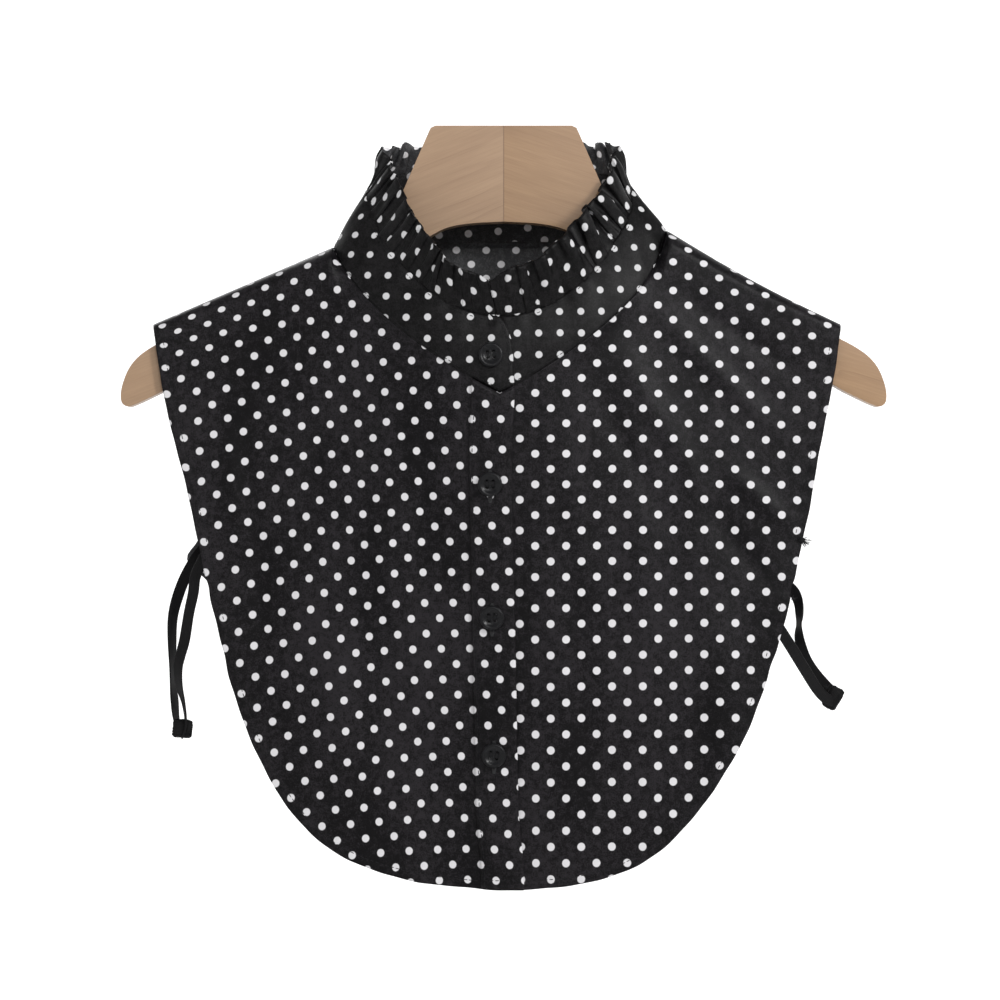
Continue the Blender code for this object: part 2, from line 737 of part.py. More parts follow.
def stand_surface(x, drop):
    """The middle of the stand's upper end at a place on the front."""
    angle = math.degrees(math.asin((NECK_X - x) / BASE_HALF_WIDTH))
    height = (base_drop(angle) - drop) / (base_drop(angle) - top_drop(angle))
    return stand_point(angle, height)


def add_buttons(collection, cutters):
    """Four buttons, one on the stand and three down the placket."""
    shared = button_mesh(collection, cutters)
    places = [(STAND_BUTTON, stand_surface)] + [(place, placket_surface) for place in PLACKET_BUTTONS]
    for number, ((x, drop), surface) in enumerate(places, start=1):
        across = surface(x + BUTTON_REACH, drop) - surface(x - BUTTON_REACH, drop)
        upward = surface(x, drop - BUTTON_REACH) - surface(x, drop + BUTTON_REACH)
        name = f"button_{number}"
        mesh = shared.copy()
        piece = add_object(name, mesh, BUTTON_BLACK, collection)
        piece.matrix_world = facing_out(surface(x, drop), across, upward)
        mesh.set_sharp_from_angle(angle=SHARP_ANGLE)


def tape_rows(table):
    """The tape's middle line and the way it faces, with its sewn ends laid on the panels' inner faces."""
    rows = []
    inside = 0.5 * WALL + TAPE_GAP + 0.5 * TAPE_THICKNESS
    for x, y, drop, facing in table:
        if y is None:
            front = facing < 90
            off = hanging_off(x, drop, front) - inside
            y = -off if front else off
        rows.append((x, y, -drop, math.radians(facing)))
    return through(rows, TAPE_STEPS)


def tape_mesh(name, table, side):
    """A flat tape swept along its line, its section turned to face the given way."""
    rows = tape_rows(table)
    mesh = bpy.data.meshes.new(name)
    shape = bmesh.new()
    rings = []
    for k, row in enumerate(rows):
        centre = Vector(row[:3])
        before = Vector(rows[max(k - 1, 0)][:3])
        after = Vector(rows[min(k + 1, len(rows) - 1)][:3])
        along = (after - before).normalized()
        looks = Vector((side * math.sin(row[3]), -math.cos(row[3]), 0.0))
        wide = along.cross(looks).normalized() * 0.5 * TAPE_WIDTH
        thick = wide.cross(along).normalized() * 0.5 * TAPE_THICKNESS
        corners = (wide + thick, wide - thick, -wide - thick, -wide + thick)
        rings.append([shape.verts.new(centre + corner) for corner in corners])
    for first, second in zip(rings, rings[1:]):
        for k in range(4):
            shape.faces.new((first[k], first[(k + 1) % 4], second[(k + 1) % 4], second[k]))
    shape.faces.new(rings[0][::-1])
    shape.faces.new(rings[-1])
    bmesh.ops.recalc_face_normals(shape, faces=shape.faces[:])
    shape.to_mesh(mesh)
    shape.free()
    return mesh


def hanger_outline():
    """Half of the hanger's outline, from the top middle round the arm to the arch's middle."""
    arm = through(HANGER_ARM, HANGER_STEPS)
    arch = through(HANGER_ARCH, HANGER_STEPS)
    return [*HANGER_TOP[:-1], *[tuple(p) for p in arm], *[tuple(p) for p in arch]]


def hanger_board(collection):
    """The whole hanger as one rounded board, before it is drilled and parted."""
    half = hanger_outline()
    other = [(-x, drop) for x, drop in reversed(half) if x > 0.0]
    outline = half + other
    curve = bpy.data.curves.new("hanger_board", "CURVE")
    curve.dimensions = "2D"
    curve.fill_mode = "BOTH"
    curve.extrude = 0.5 * HANGER_THICKNESS
    spline = curve.splines.new("POLY")
    spline.points.add(len(outline) - 1)
    for point, (x, drop) in zip(spline.points, outline):
        point.co = (x, -drop, 0.0, 1.0)
    spline.use_cyclic_u = True
    board = bpy.data.objects.new("hanger_board", curve)
    collection.objects.link(board)
    weld = board.modifiers.new("weld", "WELD")
    weld.merge_threshold = MERGE_DISTANCE
    rounding = board.modifiers.new("rounding", "BEVEL")
    rounding.width = HANGER_ROUND
    rounding.segments = HANGER_ROUND_SEGMENTS
    rounding.limit_method = "ANGLE"
    rounding.angle_limit = HANGER_EDGE_ANGLE
    mesh = evaluated_mesh(board)
    mesh.transform(Matrix.Rotation(math.radians(90), 4, "X"))
    bpy.data.objects.remove(board)
    return mesh


def hook_bore(cutters):
    """The cutter of the upright bore that a hanger's hook is screwed into."""
    mesh = bpy.data.meshes.new("hook_bore")
    shape = bmesh.new()
    bmesh.ops.create_cone(
        shape,
        cap_ends=True,
        segments=HOOK_BORE_SIDES,
        radius1=HOOK_BORE_RADIUS,
        radius2=HOOK_BORE_RADIUS,
        depth=2.0 * HOOK_BORE_DEPTH,
    )
    shape.to_mesh(mesh)
    shape.free()
    cutter = bpy.data.objects.new("hook_bore", mesh)
    cutter.hide_render = True
    cutter.display_type = "WIRE"
    cutters.objects.link(cutter)
    return cutter


def add_hanger(collection, cutters):
    """The hanger's two halves, glued at the middle, each bored half round for the hook."""
    board = bpy.data.objects.new("hanger_blank", hanger_board(collection))
    collection.objects.link(board)
    drilling = board.modifiers.new("drilling", "BOOLEAN")
    drilling.operation = "DIFFERENCE"
    drilling.object = hook_bore(cutters)
    whole = evaluated_mesh(board)
    bpy.data.objects.remove(board)
    for name, sign in (("hanger_right", -1.0), ("hanger_left", 1.0)):
        shape = bmesh.new()
        shape.from_mesh(whole)
        cut = bmesh.ops.bisect_plane(
            shape,
            geom=shape.verts[:] + shape.edges[:] + shape.faces[:],
            plane_co=(sign * 0.5 * SEAM_GAP, 0.0, 0.0),
            plane_no=(-sign, 0.0, 0.0),
            clear_outer=True,
        )
        rim = [item for item in cut["geom_cut"] if isinstance(item, bmesh.types.BMEdge)]
        bmesh.ops.edgeloop_fill(shape, edges=rim)
        bmesh.ops.recalc_face_normals(shape, faces=shape.faces[:])
        mesh = bpy.data.meshes.new(name)
        shape.to_mesh(mesh)
        shape.free()
        mesh.shade_smooth()
        mesh.set_sharp_from_angle(angle=SHARP_ANGLE)
        add_object(name, mesh, PALE_WOOD, collection)


def main():
    for old in list(bpy.data.objects):
        bpy.data.objects.remove(old)
    collection = new_collection("detachable_collar")
    cutters = new_collection("cutters")
    cloth("front_right", front_panel(1.0, True), True, collection)
    cloth("front_left", front_panel(-1.0, False), False, collection)
    cloth("placket", placket_points(), False, collection)
    cloth("back", back_panel(), False, collection)
    cloth("stand", stand_points(), True, collection)
    cloth("ruffle", ruffle_points(), True, collection)
    add_buttons(collection, cutters)
    add_object("side_tape_right", tape_mesh("side_tape_right", TAPE_RIGHT, -1.0), TAPE_BLACK, collection)
    add_object("side_tape_left", tape_mesh("side_tape_left", TAPE_LEFT, 1.0), TAPE_BLACK, collection)
    add_hanger(collection, cutters)


main()
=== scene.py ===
"""The looks of a detachable shirt collar: black cotton with white dots, on a wooden hanger.

Metres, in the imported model's frame: +Z up, the front faces -Y, the wearer's right is at -X.
Heights are given as a drop below the top of the hanger's neck plate, so z is minus the drop.
"""

import math
import random

import bmesh
import bpy
import numpy as np
from mathutils import Matrix, Vector


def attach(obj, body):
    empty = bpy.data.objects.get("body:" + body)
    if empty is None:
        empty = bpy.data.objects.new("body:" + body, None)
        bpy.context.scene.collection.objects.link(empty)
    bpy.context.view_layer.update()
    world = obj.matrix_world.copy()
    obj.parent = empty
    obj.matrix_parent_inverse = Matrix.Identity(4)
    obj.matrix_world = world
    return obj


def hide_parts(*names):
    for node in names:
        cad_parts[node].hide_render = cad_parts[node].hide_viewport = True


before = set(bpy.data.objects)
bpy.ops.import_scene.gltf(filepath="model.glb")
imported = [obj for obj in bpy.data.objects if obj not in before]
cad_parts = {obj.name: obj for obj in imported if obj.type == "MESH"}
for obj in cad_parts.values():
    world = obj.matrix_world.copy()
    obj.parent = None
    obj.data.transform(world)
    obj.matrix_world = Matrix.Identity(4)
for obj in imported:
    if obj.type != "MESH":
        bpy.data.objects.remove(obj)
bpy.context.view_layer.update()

# Camera: the photograph's frame is this wide at the hanger's middle plane
FRAME_WIDTH = 0.530
CAMERA_X = -0.0019
CAMERA_DROP = 0.1977
CAMERA_AWAY = 1.55
SENSOR = 36.0

# Cloth, and the seams between its pieces
WALL = 0.0006
STAND_WALL = 0.0010
SEAM_GAP = 0.0003
LAP_STEP = 0.0016
# Seam allowances inside the panels' upper edges: distance inward, distance up behind the stand
NECK_ALLOWANCE = ((0.0013, 0.0034), (0.0011, 0.0012))
# and at the shoulder: distance from the hanger's middle plane, distance down
SHOULDER_ALLOWANCE = ((0.0009, 0.0060), (0.0005, 0.0022))
ALLOWANCE_FADES = 0.006

# Neck seam and the stand's upper edge, as in the frame
NECK_X = -0.0019
BASE_HALF_WIDTH = 0.0875
BASE_FRONT_DEPTH = 0.034
BASE_BACK_DEPTH = 0.028
BASE_FRONT_DROP = 0.1422
BASE_SIDE_DROP = 0.0636
BASE_BACK_DROP = 0.0612
# The neck seam sits higher on the wearer's left: by how much, and over how many degrees to each side
NECK_RISE_LEFT = 0.0088
NECK_RISE_SPREAD = 20.0
BASE_V_POWER = 1.5
BASE_V_FULLNESS = 0.6
NECK_SEAM_DOWN = 0.0004
SIDE_SEAM_OUT = 0.0010
SIDE_SEAM_DOWN = 0.0003
TOP_HALF_WIDTH = 0.070
TOP_FRONT_DEPTH = 0.032
TOP_BACK_DEPTH = 0.027
TOP_FRONT_DROP = 0.1017
TOP_BACK_DROP = 0.0197
TOP_RISE_ANGLE = 72.0
TOP_RISE_POWER = 2.1
STAND_BULGE = 0.0012
STAND_SOFT_RELIEF = 0.00050
STAND_GATHER_RELIEF = 0.00024
UPPER_END = -4.8
UNDER_END = 360.0 + 9.7
END_SPAN = 12.0
TOP_END_INSET = 7.0
ROUNDING_STARTS = 0.45
UPPER_LAP_FADES = (8.0, 34.0)
UNDER_LAP_GROWS = (326.0, 352.0)
STAND_STEP = 1.2  # degrees
STAND_ROWS = 22

# Panels, as in the frame
FRONT_NECK_OFF = 0.034
FRONT_HEM_OFF = 0.018
BACK_NECK_OFF = 0.028
BACK_HEM_OFF = 0.016
EDGE_OFF = 0.009
EDGE_HEM_OFF = 0.012
NECK_SPREAD = 0.080
HEM_SPREAD = 0.130
SHOULDER_TURN = 0.0085
TIP_TURN = 0.0050
NECK_TURN = 0.025
HEM_DROP = 0.4020
# drop, reach to the wearer's right, reach to the wearer's left
OUTLINE = (
    (0.1048, 0.1851, 0.1780),
    (0.1408, 0.1794, 0.1726),
    (0.1708, 0.1722, 0.1666),
    (0.2093, 0.1629, 0.1594),
    (0.2519, 0.1538, 0.1501),
    (0.2970, 0.1422, 0.1369),
    (0.3290, 0.1305, 0.1226),
    (0.3578, 0.1137, 0.1047),
    (0.3818, 0.0895, 0.0815),
    (0.3969, 0.0490, 0.0506),
)
HEM_MIDDLE_X = 0.0010
PANEL_MIDDLE = (0.0, 0.240)
CORNER_ROW = 7
SPLINE_STEPS = 16
NECK_COLUMN_STEP = 2.0  # degrees
SHOULDER_COLUMN_PITCH = 0.0024
TURN_ROWS = (0.0, 0.0002, 0.0006, 0.0012, 0.0020, 0.0030, 0.0042, 0.0056, 0.0072, 0.0090, 0.0112)
HANGING_ROW_PITCH = 0.0026
SHOULDER_HOLLOW_LEFT = 0.0019
HEM_ROWS = (0.0, 0.0012, 0.0026, 0.0036, 0.0042, 0.0047, 0.0052, 0.0060, 0.0072, 0.0090)

# Soft folds, as in the frame
# middle at the neck, middle at the hem, half width, depth, drop where it starts, drop where it is full
FRONT_FOLDS = (
    (-0.0330, -0.0200, 0.013, -0.0022, 0.150, 0.230),
    (0.0560, 0.1450, 0.020, 0.0020, 0.100, 0.160),
    (0.0900, 0.1900, 0.016, 0.0014, 0.110, 0.180),
    (-0.1150, -0.0800, 0.024, 0.0016, 0.130, 0.220),
)
BACK_FOLDS = (
    (-0.0500, -0.0900, 0.020, 0.0020, 0.090, 0.180),
    (0.0400, 0.0800, 0.018, 0.0018, 0.090, 0.180),
)

# Creases: ridges have a positive depth and troughs a negative one
# from x, from drop, to x, to drop, half width, depth
FRONT_CREASES = (
    (0.066, 0.084, 0.158, 0.176, 0.0060, 0.0016),
    (0.082, 0.082, 0.168, 0.140, 0.0050, -0.0012),
    (0.052, 0.104, 0.112, 0.206, 0.0065, 0.0017),
    (0.040, 0.122, 0.092, 0.226, 0.0060, -0.0015),
    (0.026, 0.138, 0.048, 0.262, 0.0050, 0.0011),
    (0.070, 0.130, 0.074, 0.345, 0.0085, 0.0021),
    (0.088, 0.150, 0.096, 0.300, 0.0075, -0.0014),
    (0.112, 0.176, 0.156, 0.216, 0.0048, 0.0017),
    (0.104, 0.196, 0.146, 0.252, 0.0065, -0.0015),
    (0.118, 0.244, 0.112, 0.345, 0.0085, 0.0015),
    (0.034, 0.270, 0.060, 0.384, 0.0090, -0.0015),
    (0.024, 0.220, 0.034, 0.330, 0.0055, 0.0010),
    (0.086, 0.310, 0.066, 0.386, 0.0070, 0.0012),
    (-0.024, 0.170, -0.030, 0.380, 0.0050, 0.0011),
    (-0.040, 0.136, -0.044, 0.300, 0.0055, -0.0014),
    (-0.058, 0.112, -0.066, 0.280, 0.0070, 0.0016),
    (-0.074, 0.096, -0.112, 0.226, 0.0070, -0.0016),
    (-0.086, 0.088, -0.150, 0.164, 0.0055, 0.0014),
    (-0.104, 0.092, -0.172, 0.140, 0.0045, -0.0011),
    (-0.096, 0.230, -0.078, 0.372, 0.0095, 0.0018),
    (-0.130, 0.190, -0.122, 0.310, 0.0080, -0.0014),
    (-0.146, 0.156, -0.138, 0.236, 0.0055, 0.0011),
    (-0.050, 0.290, -0.036, 0.386, 0.0070, -0.0014),
    (-0.060, 0.330, -0.084, 0.376, 0.0055, 0.0009),
)
BACK_CREASES = (
    (-0.076, 0.078, -0.140, 0.186, 0.0070, 0.0017),
    (-0.060, 0.076, -0.100, 0.230, 0.0080, -0.0017),
    (-0.034, 0.074, -0.046, 0.260, 0.0070, 0.0015),
    (0.004, 0.072, -0.004, 0.220, 0.0060, -0.0012),
    (0.036, 0.076, 0.056, 0.250, 0.0080, 0.0017),
    (0.062, 0.078, 0.112, 0.210, 0.0070, -0.0016),
    (0.080, 0.082, 0.148, 0.170, 0.0055, 0.0014),
    (-0.110, 0.200, -0.100, 0.330, 0.0100, 0.0017),
    (0.096, 0.230, 0.084, 0.350, 0.0090, -0.0017),
    (-0.020, 0.270, -0.030, 0.380, 0.0090, -0.0014),
    (0.030, 0.280, 0.020, 0.388, 0.0080, 0.0014),
    (-0.066, 0.250, -0.058, 0.372, 0.0070, -0.0011),
)

# The hemmed edges waver a little, and are drawn in where the tapes pull
WAVER_DEPTH = 0.00042
WAVER_REACH = 0.008
# x, drop, how far drawn in, half length
FRONT_PULLS = (
    (-0.1595, 0.2440, 0.0013, 0.0045),
    (0.1530, 0.2440, 0.0011, 0.0040),
    (0.1440, 0.2850, 0.0009, 0.0060),
    (-0.1490, 0.2800, 0.0006, 0.0070),
)
# The back shows beside the right front where its tape is sewn on
BACK_PULLS = (
    (-0.1590, 0.2300, -0.0104, 0.0088),
    (0.1530, 0.2420, 0.0011, 0.0040),
)

# Narrow hem round the armholes and the lower edge
HEM_WIDTH = 0.0052
HEM_RISE = 0.00022
HEM_STITCH_IN = 0.0044
HEM_DIMPLE = 0.00016
HEM_DIMPLE_WIDTH = 0.0005
PUCKER_DEPTH = 0.00022
PUCKER_LENGTH = 0.0085

# Placket
PLACKET_TOP_X = -0.0056
PLACKET_BOTTOM_X = -0.0005
PLACKET_WIDTH = 0.0222
# The placket hangs bowed towards the wearer's right: by how much, and the drops it grows and fades between
PLACKET_BOW = 0.0021
PLACKET_BOW_GROWS = (0.138, 0.175)
PLACKET_BOW_FADES = (0.358, 0.392)
PLACKET_WALL = 0.0013
PLACKET_STEP = 0.00125
PLACKET_TOP_GAP = 0.0008
PLACKET_HEM_INSET = 0.0008
PLACKET_ROW_PITCH = 0.0022
PLACKET_COLUMNS = 18
PLACKET_STITCH_IN = 0.0018
LAP_FADE_STARTS = 0.003
LAP_FADE_ENDS = 0.020

# Dots: a square lattice with one more dot in each square
DOT_PITCH = 0.0161
DOT_RADIUS = 0.00204
STAND_DOT_RADIUS = 0.00185
SHEEN = 0.012
LEFT_DOT = (0.0486, 0.2538)  # x and drop of a dot on the wearer's left front
LEFT_ROW_PITCH = 0.01555
LEFT_ROW_GROWTH = 0.0060
# The left front's dots drift away from the placket towards the hem: how far, from which x, over what reach
LEFT_DRIFT = 0.00095
LEFT_DRIFT_X = 0.0095
LEFT_DRIFT_REACH = 0.013
LEFT_DRIFT_DROPS = (0.240, 0.400)
RIGHT_DOT = (-0.0412, 0.2508)
RIGHT_ROW_PITCH = 0.0156
RIGHT_ROW_GROWTH = 0.0030
ROW_PITCH_DROP = 0.120  # where the row pitches are measured; they grow towards the hem
RIGHT_COLUMN_LEAN = 0.00083  # for each row
RIGHT_RISE_STARTS = -0.050
RIGHT_RISE_SOFT = 0.012
RIGHT_RISE = 0.092
# The right front is drawn up a little towards the shoulder: by how much, between which x and which drops
SHOULDER_DRAW = 0.0017
SHOULDER_DRAW_X = (-0.068, -0.100)
SHOULDER_DRAW_DROPS = (0.180, 0.300)
# Cloth taken up over the shoulders, in the dots: how much at the tip, how far down, the x where it starts
RIGHT_TAKEN_UP = (0.0113, 0.038, 0.084)
LEFT_TAKEN_UP = (0.0036, 0.020, 0.060)
BACK_DOTS_SHIFT = (0.0016, 0.0059)  # to the wearer's right, down
# x, the lattice's pitch across there
LEFT_PITCH_ACROSS = ((-0.200, 0.0161), (0.085, 0.0161), (0.110, 0.0164), (0.200, 0.0164))
RIGHT_PITCH_ACROSS = ((-0.200, 0.0159), (-0.120, 0.0156), (-0.085, 0.0149), (0.020, 0.0149))
STAND_DOTS = ((-0.0279, 0.1142), (0.0287, 0.1110))  # one at either side of the front
STAND_PITCH = 0.0158
STAND_BIAS = math.radians(45)
STAND_EASED = (30.0, 330.0)  # angles between which the two sides' dots are eased into each other

# Ruffle, its lean as in the frame
# angle round the neck, height of the strip, and the way it stands: to the left, to the back, up
RUFFLE_LEAN = (
    (-10, 0.0222, 0.05, -0.35, 0.94),
    (8, 0.0222, -0.07, -0.25, 0.97),
    (20, 0.0220, 0.10, -0.33, 0.94),
    (40, 0.0215, 0.51, -0.36, 0.78),
    (60, 0.0215, 0.68, -0.22, 0.70),
    (75, 0.0212, 0.71, -0.20, 0.67),
    (90, 0.0208, 0.66, -0.06, 0.74),
    (105, 0.0200, 0.48, 0.10, 0.87),
    (120, 0.0194, 0.33, 0.30, 0.89),
    (150, 0.0190, 0.08, 0.50, 0.86),
    (180, 0.0190, 0.00, 0.52, 0.85),
    (210, 0.0190, -0.03, 0.50, 0.87),
    (230, 0.0194, -0.09, 0.38, 0.92),
    (250, 0.0198, -0.30, 0.20, 0.93),
    (270, 0.0206, -0.55, 0.02, 0.83),
    (285, 0.0214, -0.68, -0.15, 0.71),
    (300, 0.0232, -0.68, -0.20, 0.71),
    (315, 0.0244, -0.64, -0.24, 0.73),
    (330, 0.0246, -0.38, -0.28, 0.88),
    (345, 0.0246, -0.24, -0.26, 0.94),
    (358, 0.0246, -0.13, -0.22, 0.97),
    (372, 0.0240, -0.08, -0.25, 0.96),
)
RUFFLE_WAVES = 42
RUFFLE_STEPS = 30
RUFFLE_ROWS = 12
RUFFLE_SEAM_DEPTH = 0.0012  # sewn in below the stand's upper edge
RUFFLE_WALL = 0.0005
RUFFLE_SAMPLES = 1440
RUFFLE_DOT_SHIFT = 0.30  # where the dots start on the strip, in pitches
RUFFLE_SKEW = 0.55  # how far a fold's free edge may stray sideways, as a share of the fold
RUFFLE_UNEVEN = 0.06  # how much the strip's height may differ from fold to fold
RUFFLE_END_FALL = 0.25
RUFFLE_END_SPAN = 0.006
GATHER_SWING = 1.25  # the small gathers along the seam
# angle round the neck, swing of a fold at the seam and at the free edge in radians, share of its depth that stays,
# how flat it is pressed, its size
RUFFLE_FOLDS = (
    (-10, 1.25, 1.80, 0.26, 0.9, 0.9),
    (10, 1.45, 2.15, 0.24, 1.0, 1.0),
    (45, 1.50, 2.25, 0.24, 1.0, 1.0),
    (75, 1.45, 2.05, 0.34, 0.9, 1.0),
    (110, 1.25, 1.50, 0.85, 0.3, 1.0),
    (180, 1.15, 1.35, 0.90, 0.1, 0.9),
    (250, 1.25, 1.45, 0.95, 0.2, 1.0),
    (285, 1.40, 1.70, 0.80, 0.6, 1.1),
    (330, 1.45, 1.90, 0.55, 0.9, 1.3),
    (350, 1.45, 2.00, 0.36, 1.0, 1.1),
    (372, 1.25, 1.80, 0.28, 0.9, 0.9),
)

# Buttons, as in the frame
BUTTON_RADIUS = 0.00635
BUTTON_HOLE_RADIUS = 0.00085
BUTTON_HOLE_PITCH = 0.0032
BUTTON_SEAT = 0.0004
STAND_BUTTON = (-0.0070, 0.1226)
PLACKET_BUTTONS = ((-0.0070, 0.1894), (-0.0060, 0.2588), (-0.0050, 0.3307))
BUTTON_PROFILE = (
    (0.0, 0.00125),
    (0.0020, 0.00130),
    (0.0034, 0.00150),
    (0.0042, 0.00195),
    (0.0047, 0.00235),
    (0.0052, 0.00255),
    (0.0057, 0.00252),
    (0.0061, 0.00225),
    (BUTTON_RADIUS, 0.0018),
    (0.0063, 0.0012),
    (0.0060, 0.0007),
    (0.0053, 0.00015),
    (0.0048, 0.0),
    (0.0, 0.0),
)

# Worked buttonholes in the placket
BUTTONHOLE_HALF_LENGTH = 0.0085
BUTTONHOLE_HALF_WIDTH = 0.0008
BUTTONHOLE_FALL = 0.0012  # the button sits above the slit's middle
BUTTONHOLE_PITCH = 0.00042
BUTTONHOLE_STITCH = 0.0015

# Side tapes, as in the frame
TAPE_WIDTH = 0.0060
TAPE_THICKNESS = 0.0009
TAPE_GAP = 0.0007
TAPE_STEPS = 10
# x, y, drop, and the way the tape's face looks, in degrees: 0 to the front, 90 to the side, 180 to the back
TAPE_RIGHT = (
    (-0.1513, None, 0.2189, 0),
    (-0.1572, None, 0.2274, 0),
    (-0.1625, -0.0066, 0.2375, 10),
    (-0.1638, -0.0060, 0.2465, 15),
    (-0.1662, -0.0055, 0.2576, 20),
    (-0.1685, -0.0050, 0.2714, 15),
    (-0.1707, -0.0048, 0.2799, 25),
    (-0.1720, -0.0046, 0.2867, 35),
    (-0.1715, -0.0042, 0.2958, 50),
    (-0.1693, -0.0032, 0.3053, 70),
    (-0.1683, -0.0020, 0.3143, 78),
    (-0.1693, -0.0008, 0.3205, 85),
    (-0.1715, 0.0008, 0.3207, 95),
    (-0.1738, 0.0022, 0.3132, 115),
    (-0.1748, 0.0034, 0.3037, 125),
    (-0.1758, 0.0042, 0.2942, 110),
    (-0.1760, 0.0046, 0.2852, 115),
    (-0.1762, 0.0048, 0.2746, 130),
    (-0.1762, 0.0052, 0.2640, 140),
    (-0.1752, 0.0056, 0.2560, 150),
    (-0.1725, 0.0062, 0.2465, 170),
    (-0.1688, 0.0068, 0.2375, 175),
    (-0.1630, 0.0076, 0.2274, 180),
    (-0.1575, None, 0.2210, 180),
    (-0.1520, None, 0.2160, 180),
)
TAPE_LEFT = (
    (0.1386, None, 0.2560, 0),
    (0.1444, None, 0.2645, 0),
    (0.1502, -0.0078, 0.2730, 5),
    (0.1545, -0.0070, 0.2799, 10),
    (0.1587, -0.0062, 0.2867, 15),
    (0.1651, -0.0050, 0.2968, 20),
    (0.1698, -0.0040, 0.3021, 30),
    (0.1742, -0.0020, 0.3040, 60),
    (0.1762, 0.0006, 0.3026, 90),
    (0.1748, 0.0030, 0.2996, 125),
    (0.1709, 0.0042, 0.2960, 155),
    (0.1651, 0.0046, 0.2893, 165),
    (0.1608, 0.0048, 0.2826, 165),
    (0.1582, 0.0050, 0.2756, 155),
    (0.1571, 0.0052, 0.2698, 135),
    (0.1571, 0.0054, 0.2640, 108),
    (0.1574, 0.0058, 0.2587, 125),
    (0.1569, 0.0064, 0.2523, 140),
    (0.1545, 0.0074, 0.2465, 160),
    (0.1492, None, 0.2417, 180),
    (0.1439, None, 0.2390, 180),
)

# The folded and sewn end of each loop: x, y, drop, length, width, degrees it is turned
TAPE_FOLDS = (
    ("side_tape_right_fold", -0.1702, 0.0, 0.3188, 0.0102, 0.0094, 5.0),
    ("side_tape_left_fold", 0.1746, 0.0, 0.3026, 0.0120, 0.0078, -60.0),
)
TAPE_FOLD_THICKNESS = 0.0048
TAPE_FOLD_ROUND = 0.0020
TAPE_FOLD_UNEVEN = 0.00042
# Loose threads: x, y, drop, degrees they point above the level, half spread in degrees, length, how many
LOOSE_THREADS = (
    (0.1556, -0.0132, 0.2180, -34.0, 24.0, 0.0068, 34),
    (0.1516, -0.0150, 0.2492, 8.0, 50.0, 0.0032, 9),
    (0.1712, -0.0030, 0.2975, 75.0, 40.0, 0.0030, 8),
)
LOOSE_THREAD_RADIUS = 0.00024

# Hanger, as in the frame: reach from the middle, drop
HANGER_THICKNESS = 0.0120
HANGER_ROUND = 0.0042
HANGER_ROUND_SEGMENTS = 6
HANGER_STEPS = 6
HANGER_TOP = ((0.0, 0.0), (0.0360, 0.0), (0.0385, 0.0012), (0.0398, 0.0040), (0.0520, 0.0320))
HANGER_ARM = (
    (0.0520, 0.0320),
    (0.0565, 0.0420),
    (0.0640, 0.0545),
    (0.0780, 0.0668),
    (0.0875, 0.0722),
    (0.1000, 0.0746),
    (0.1100, 0.0777),
    (0.1320, 0.0892),
    (0.1590, 0.1035),
    (0.1850, 0.1165),
    (0.1960, 0.1255),
    (0.2012, 0.1365),
    (0.2020, 0.1450),
    (0.1990, 0.1482),
    (0.1940, 0.1470),
    (0.1803, 0.1405),
)
HANGER_ARCH = ((0.0378, 0.0578), (0.0300, 0.0540), (0.0180, 0.0517), (0.0, 0.0507))
HOOK_BORE_RADIUS = 0.0020
HOOK_BORE_DEPTH = 0.018
RING_PITCH = 0.0062
GLUE_LINE_WIDTH = 0.0005

# Thread
STITCH_PITCH = 0.0028
STITCH_LENGTH = 0.0022
STITCH_RADIUS = 0.00019
STITCH_SIDES = 6
# place along the stitch, height above the cloth, radius, each as a share
STITCH_SHAPE = ((-0.5, -1.6, 0.55), (-0.4, -0.2, 0.95), (-0.15, 0.6, 1.0), (0.15, 0.6, 1.0), (0.4, -0.2, 0.95), (0.5, -1.6, 0.55))

# Stage and light
FLOOR_DROP = 1.35
BOWL_RADIUS = 3.4
BOWL_HEIGHT = 3.4
BOWL_CORNER = 1.2
GLOW_IN_FRONT = 0.22
GLOW_BEHIND = 0.85
MERGE_DISTANCE = 0.00001
SHARP_ANGLE = math.radians(40)


def smooth_step(low, high, value):
    """0 below low, 1 above high, and a smooth rise between them."""
    share = np.clip((value - low) / (high - low), 0.0, 1.0)
    return share * share * (3.0 - 2.0 * share)


def turned_from_front(angle):
    """The angle from the centre front, 0 to 180 degrees, whichever way round."""
    return np.abs((angle + 180.0) % 360.0 - 180.0)


def lap_offset(angle):
    """How far the stand lies outside or inside its ring where its two ends lap."""
    upper = 1.0 - smooth_step(*UPPER_LAP_FADES, angle)
    under = smooth_step(*UNDER_LAP_GROWS, angle)
    return 0.5 * LAP_STEP * (upper - under)


def ring_in_plan(angle, half_width, front_depth, back_depth, outward):
    """x and y of a neck ring at an angle, moved outward by a distance."""
    turn = np.radians(angle)
    depth = np.where(turned_from_front(angle) < 90.0, front_depth, back_depth)
    normal_x = -np.sin(turn) / half_width
    normal_y = -np.cos(turn) / depth
    size = np.hypot(normal_x, normal_y)
    x = NECK_X - half_width * np.sin(turn) + outward * normal_x / size
    y = -depth * np.cos(turn) + outward * normal_y / size
    return x, y


def base_drop(angle):
    """Drop of the neck seam: a soft V at the centre front, nearly level round the back."""
    turned = turned_from_front(angle) / 90.0
    share = np.clip(1.0 - turned, 0.0, 1.0) ** BASE_V_POWER * (1.0 + BASE_V_FULLNESS * turned)
    front = BASE_SIDE_DROP + (BASE_FRONT_DROP - BASE_SIDE_DROP) * share
    back = BASE_SIDE_DROP + (BASE_BACK_DROP - BASE_SIDE_DROP) * (turned - 1.0)
    rise = NECK_RISE_LEFT * np.exp(-((((angle % 360.0) - 270.0) / NECK_RISE_SPREAD) ** 2))
    return np.where(turned < 1.0, front, back) - rise


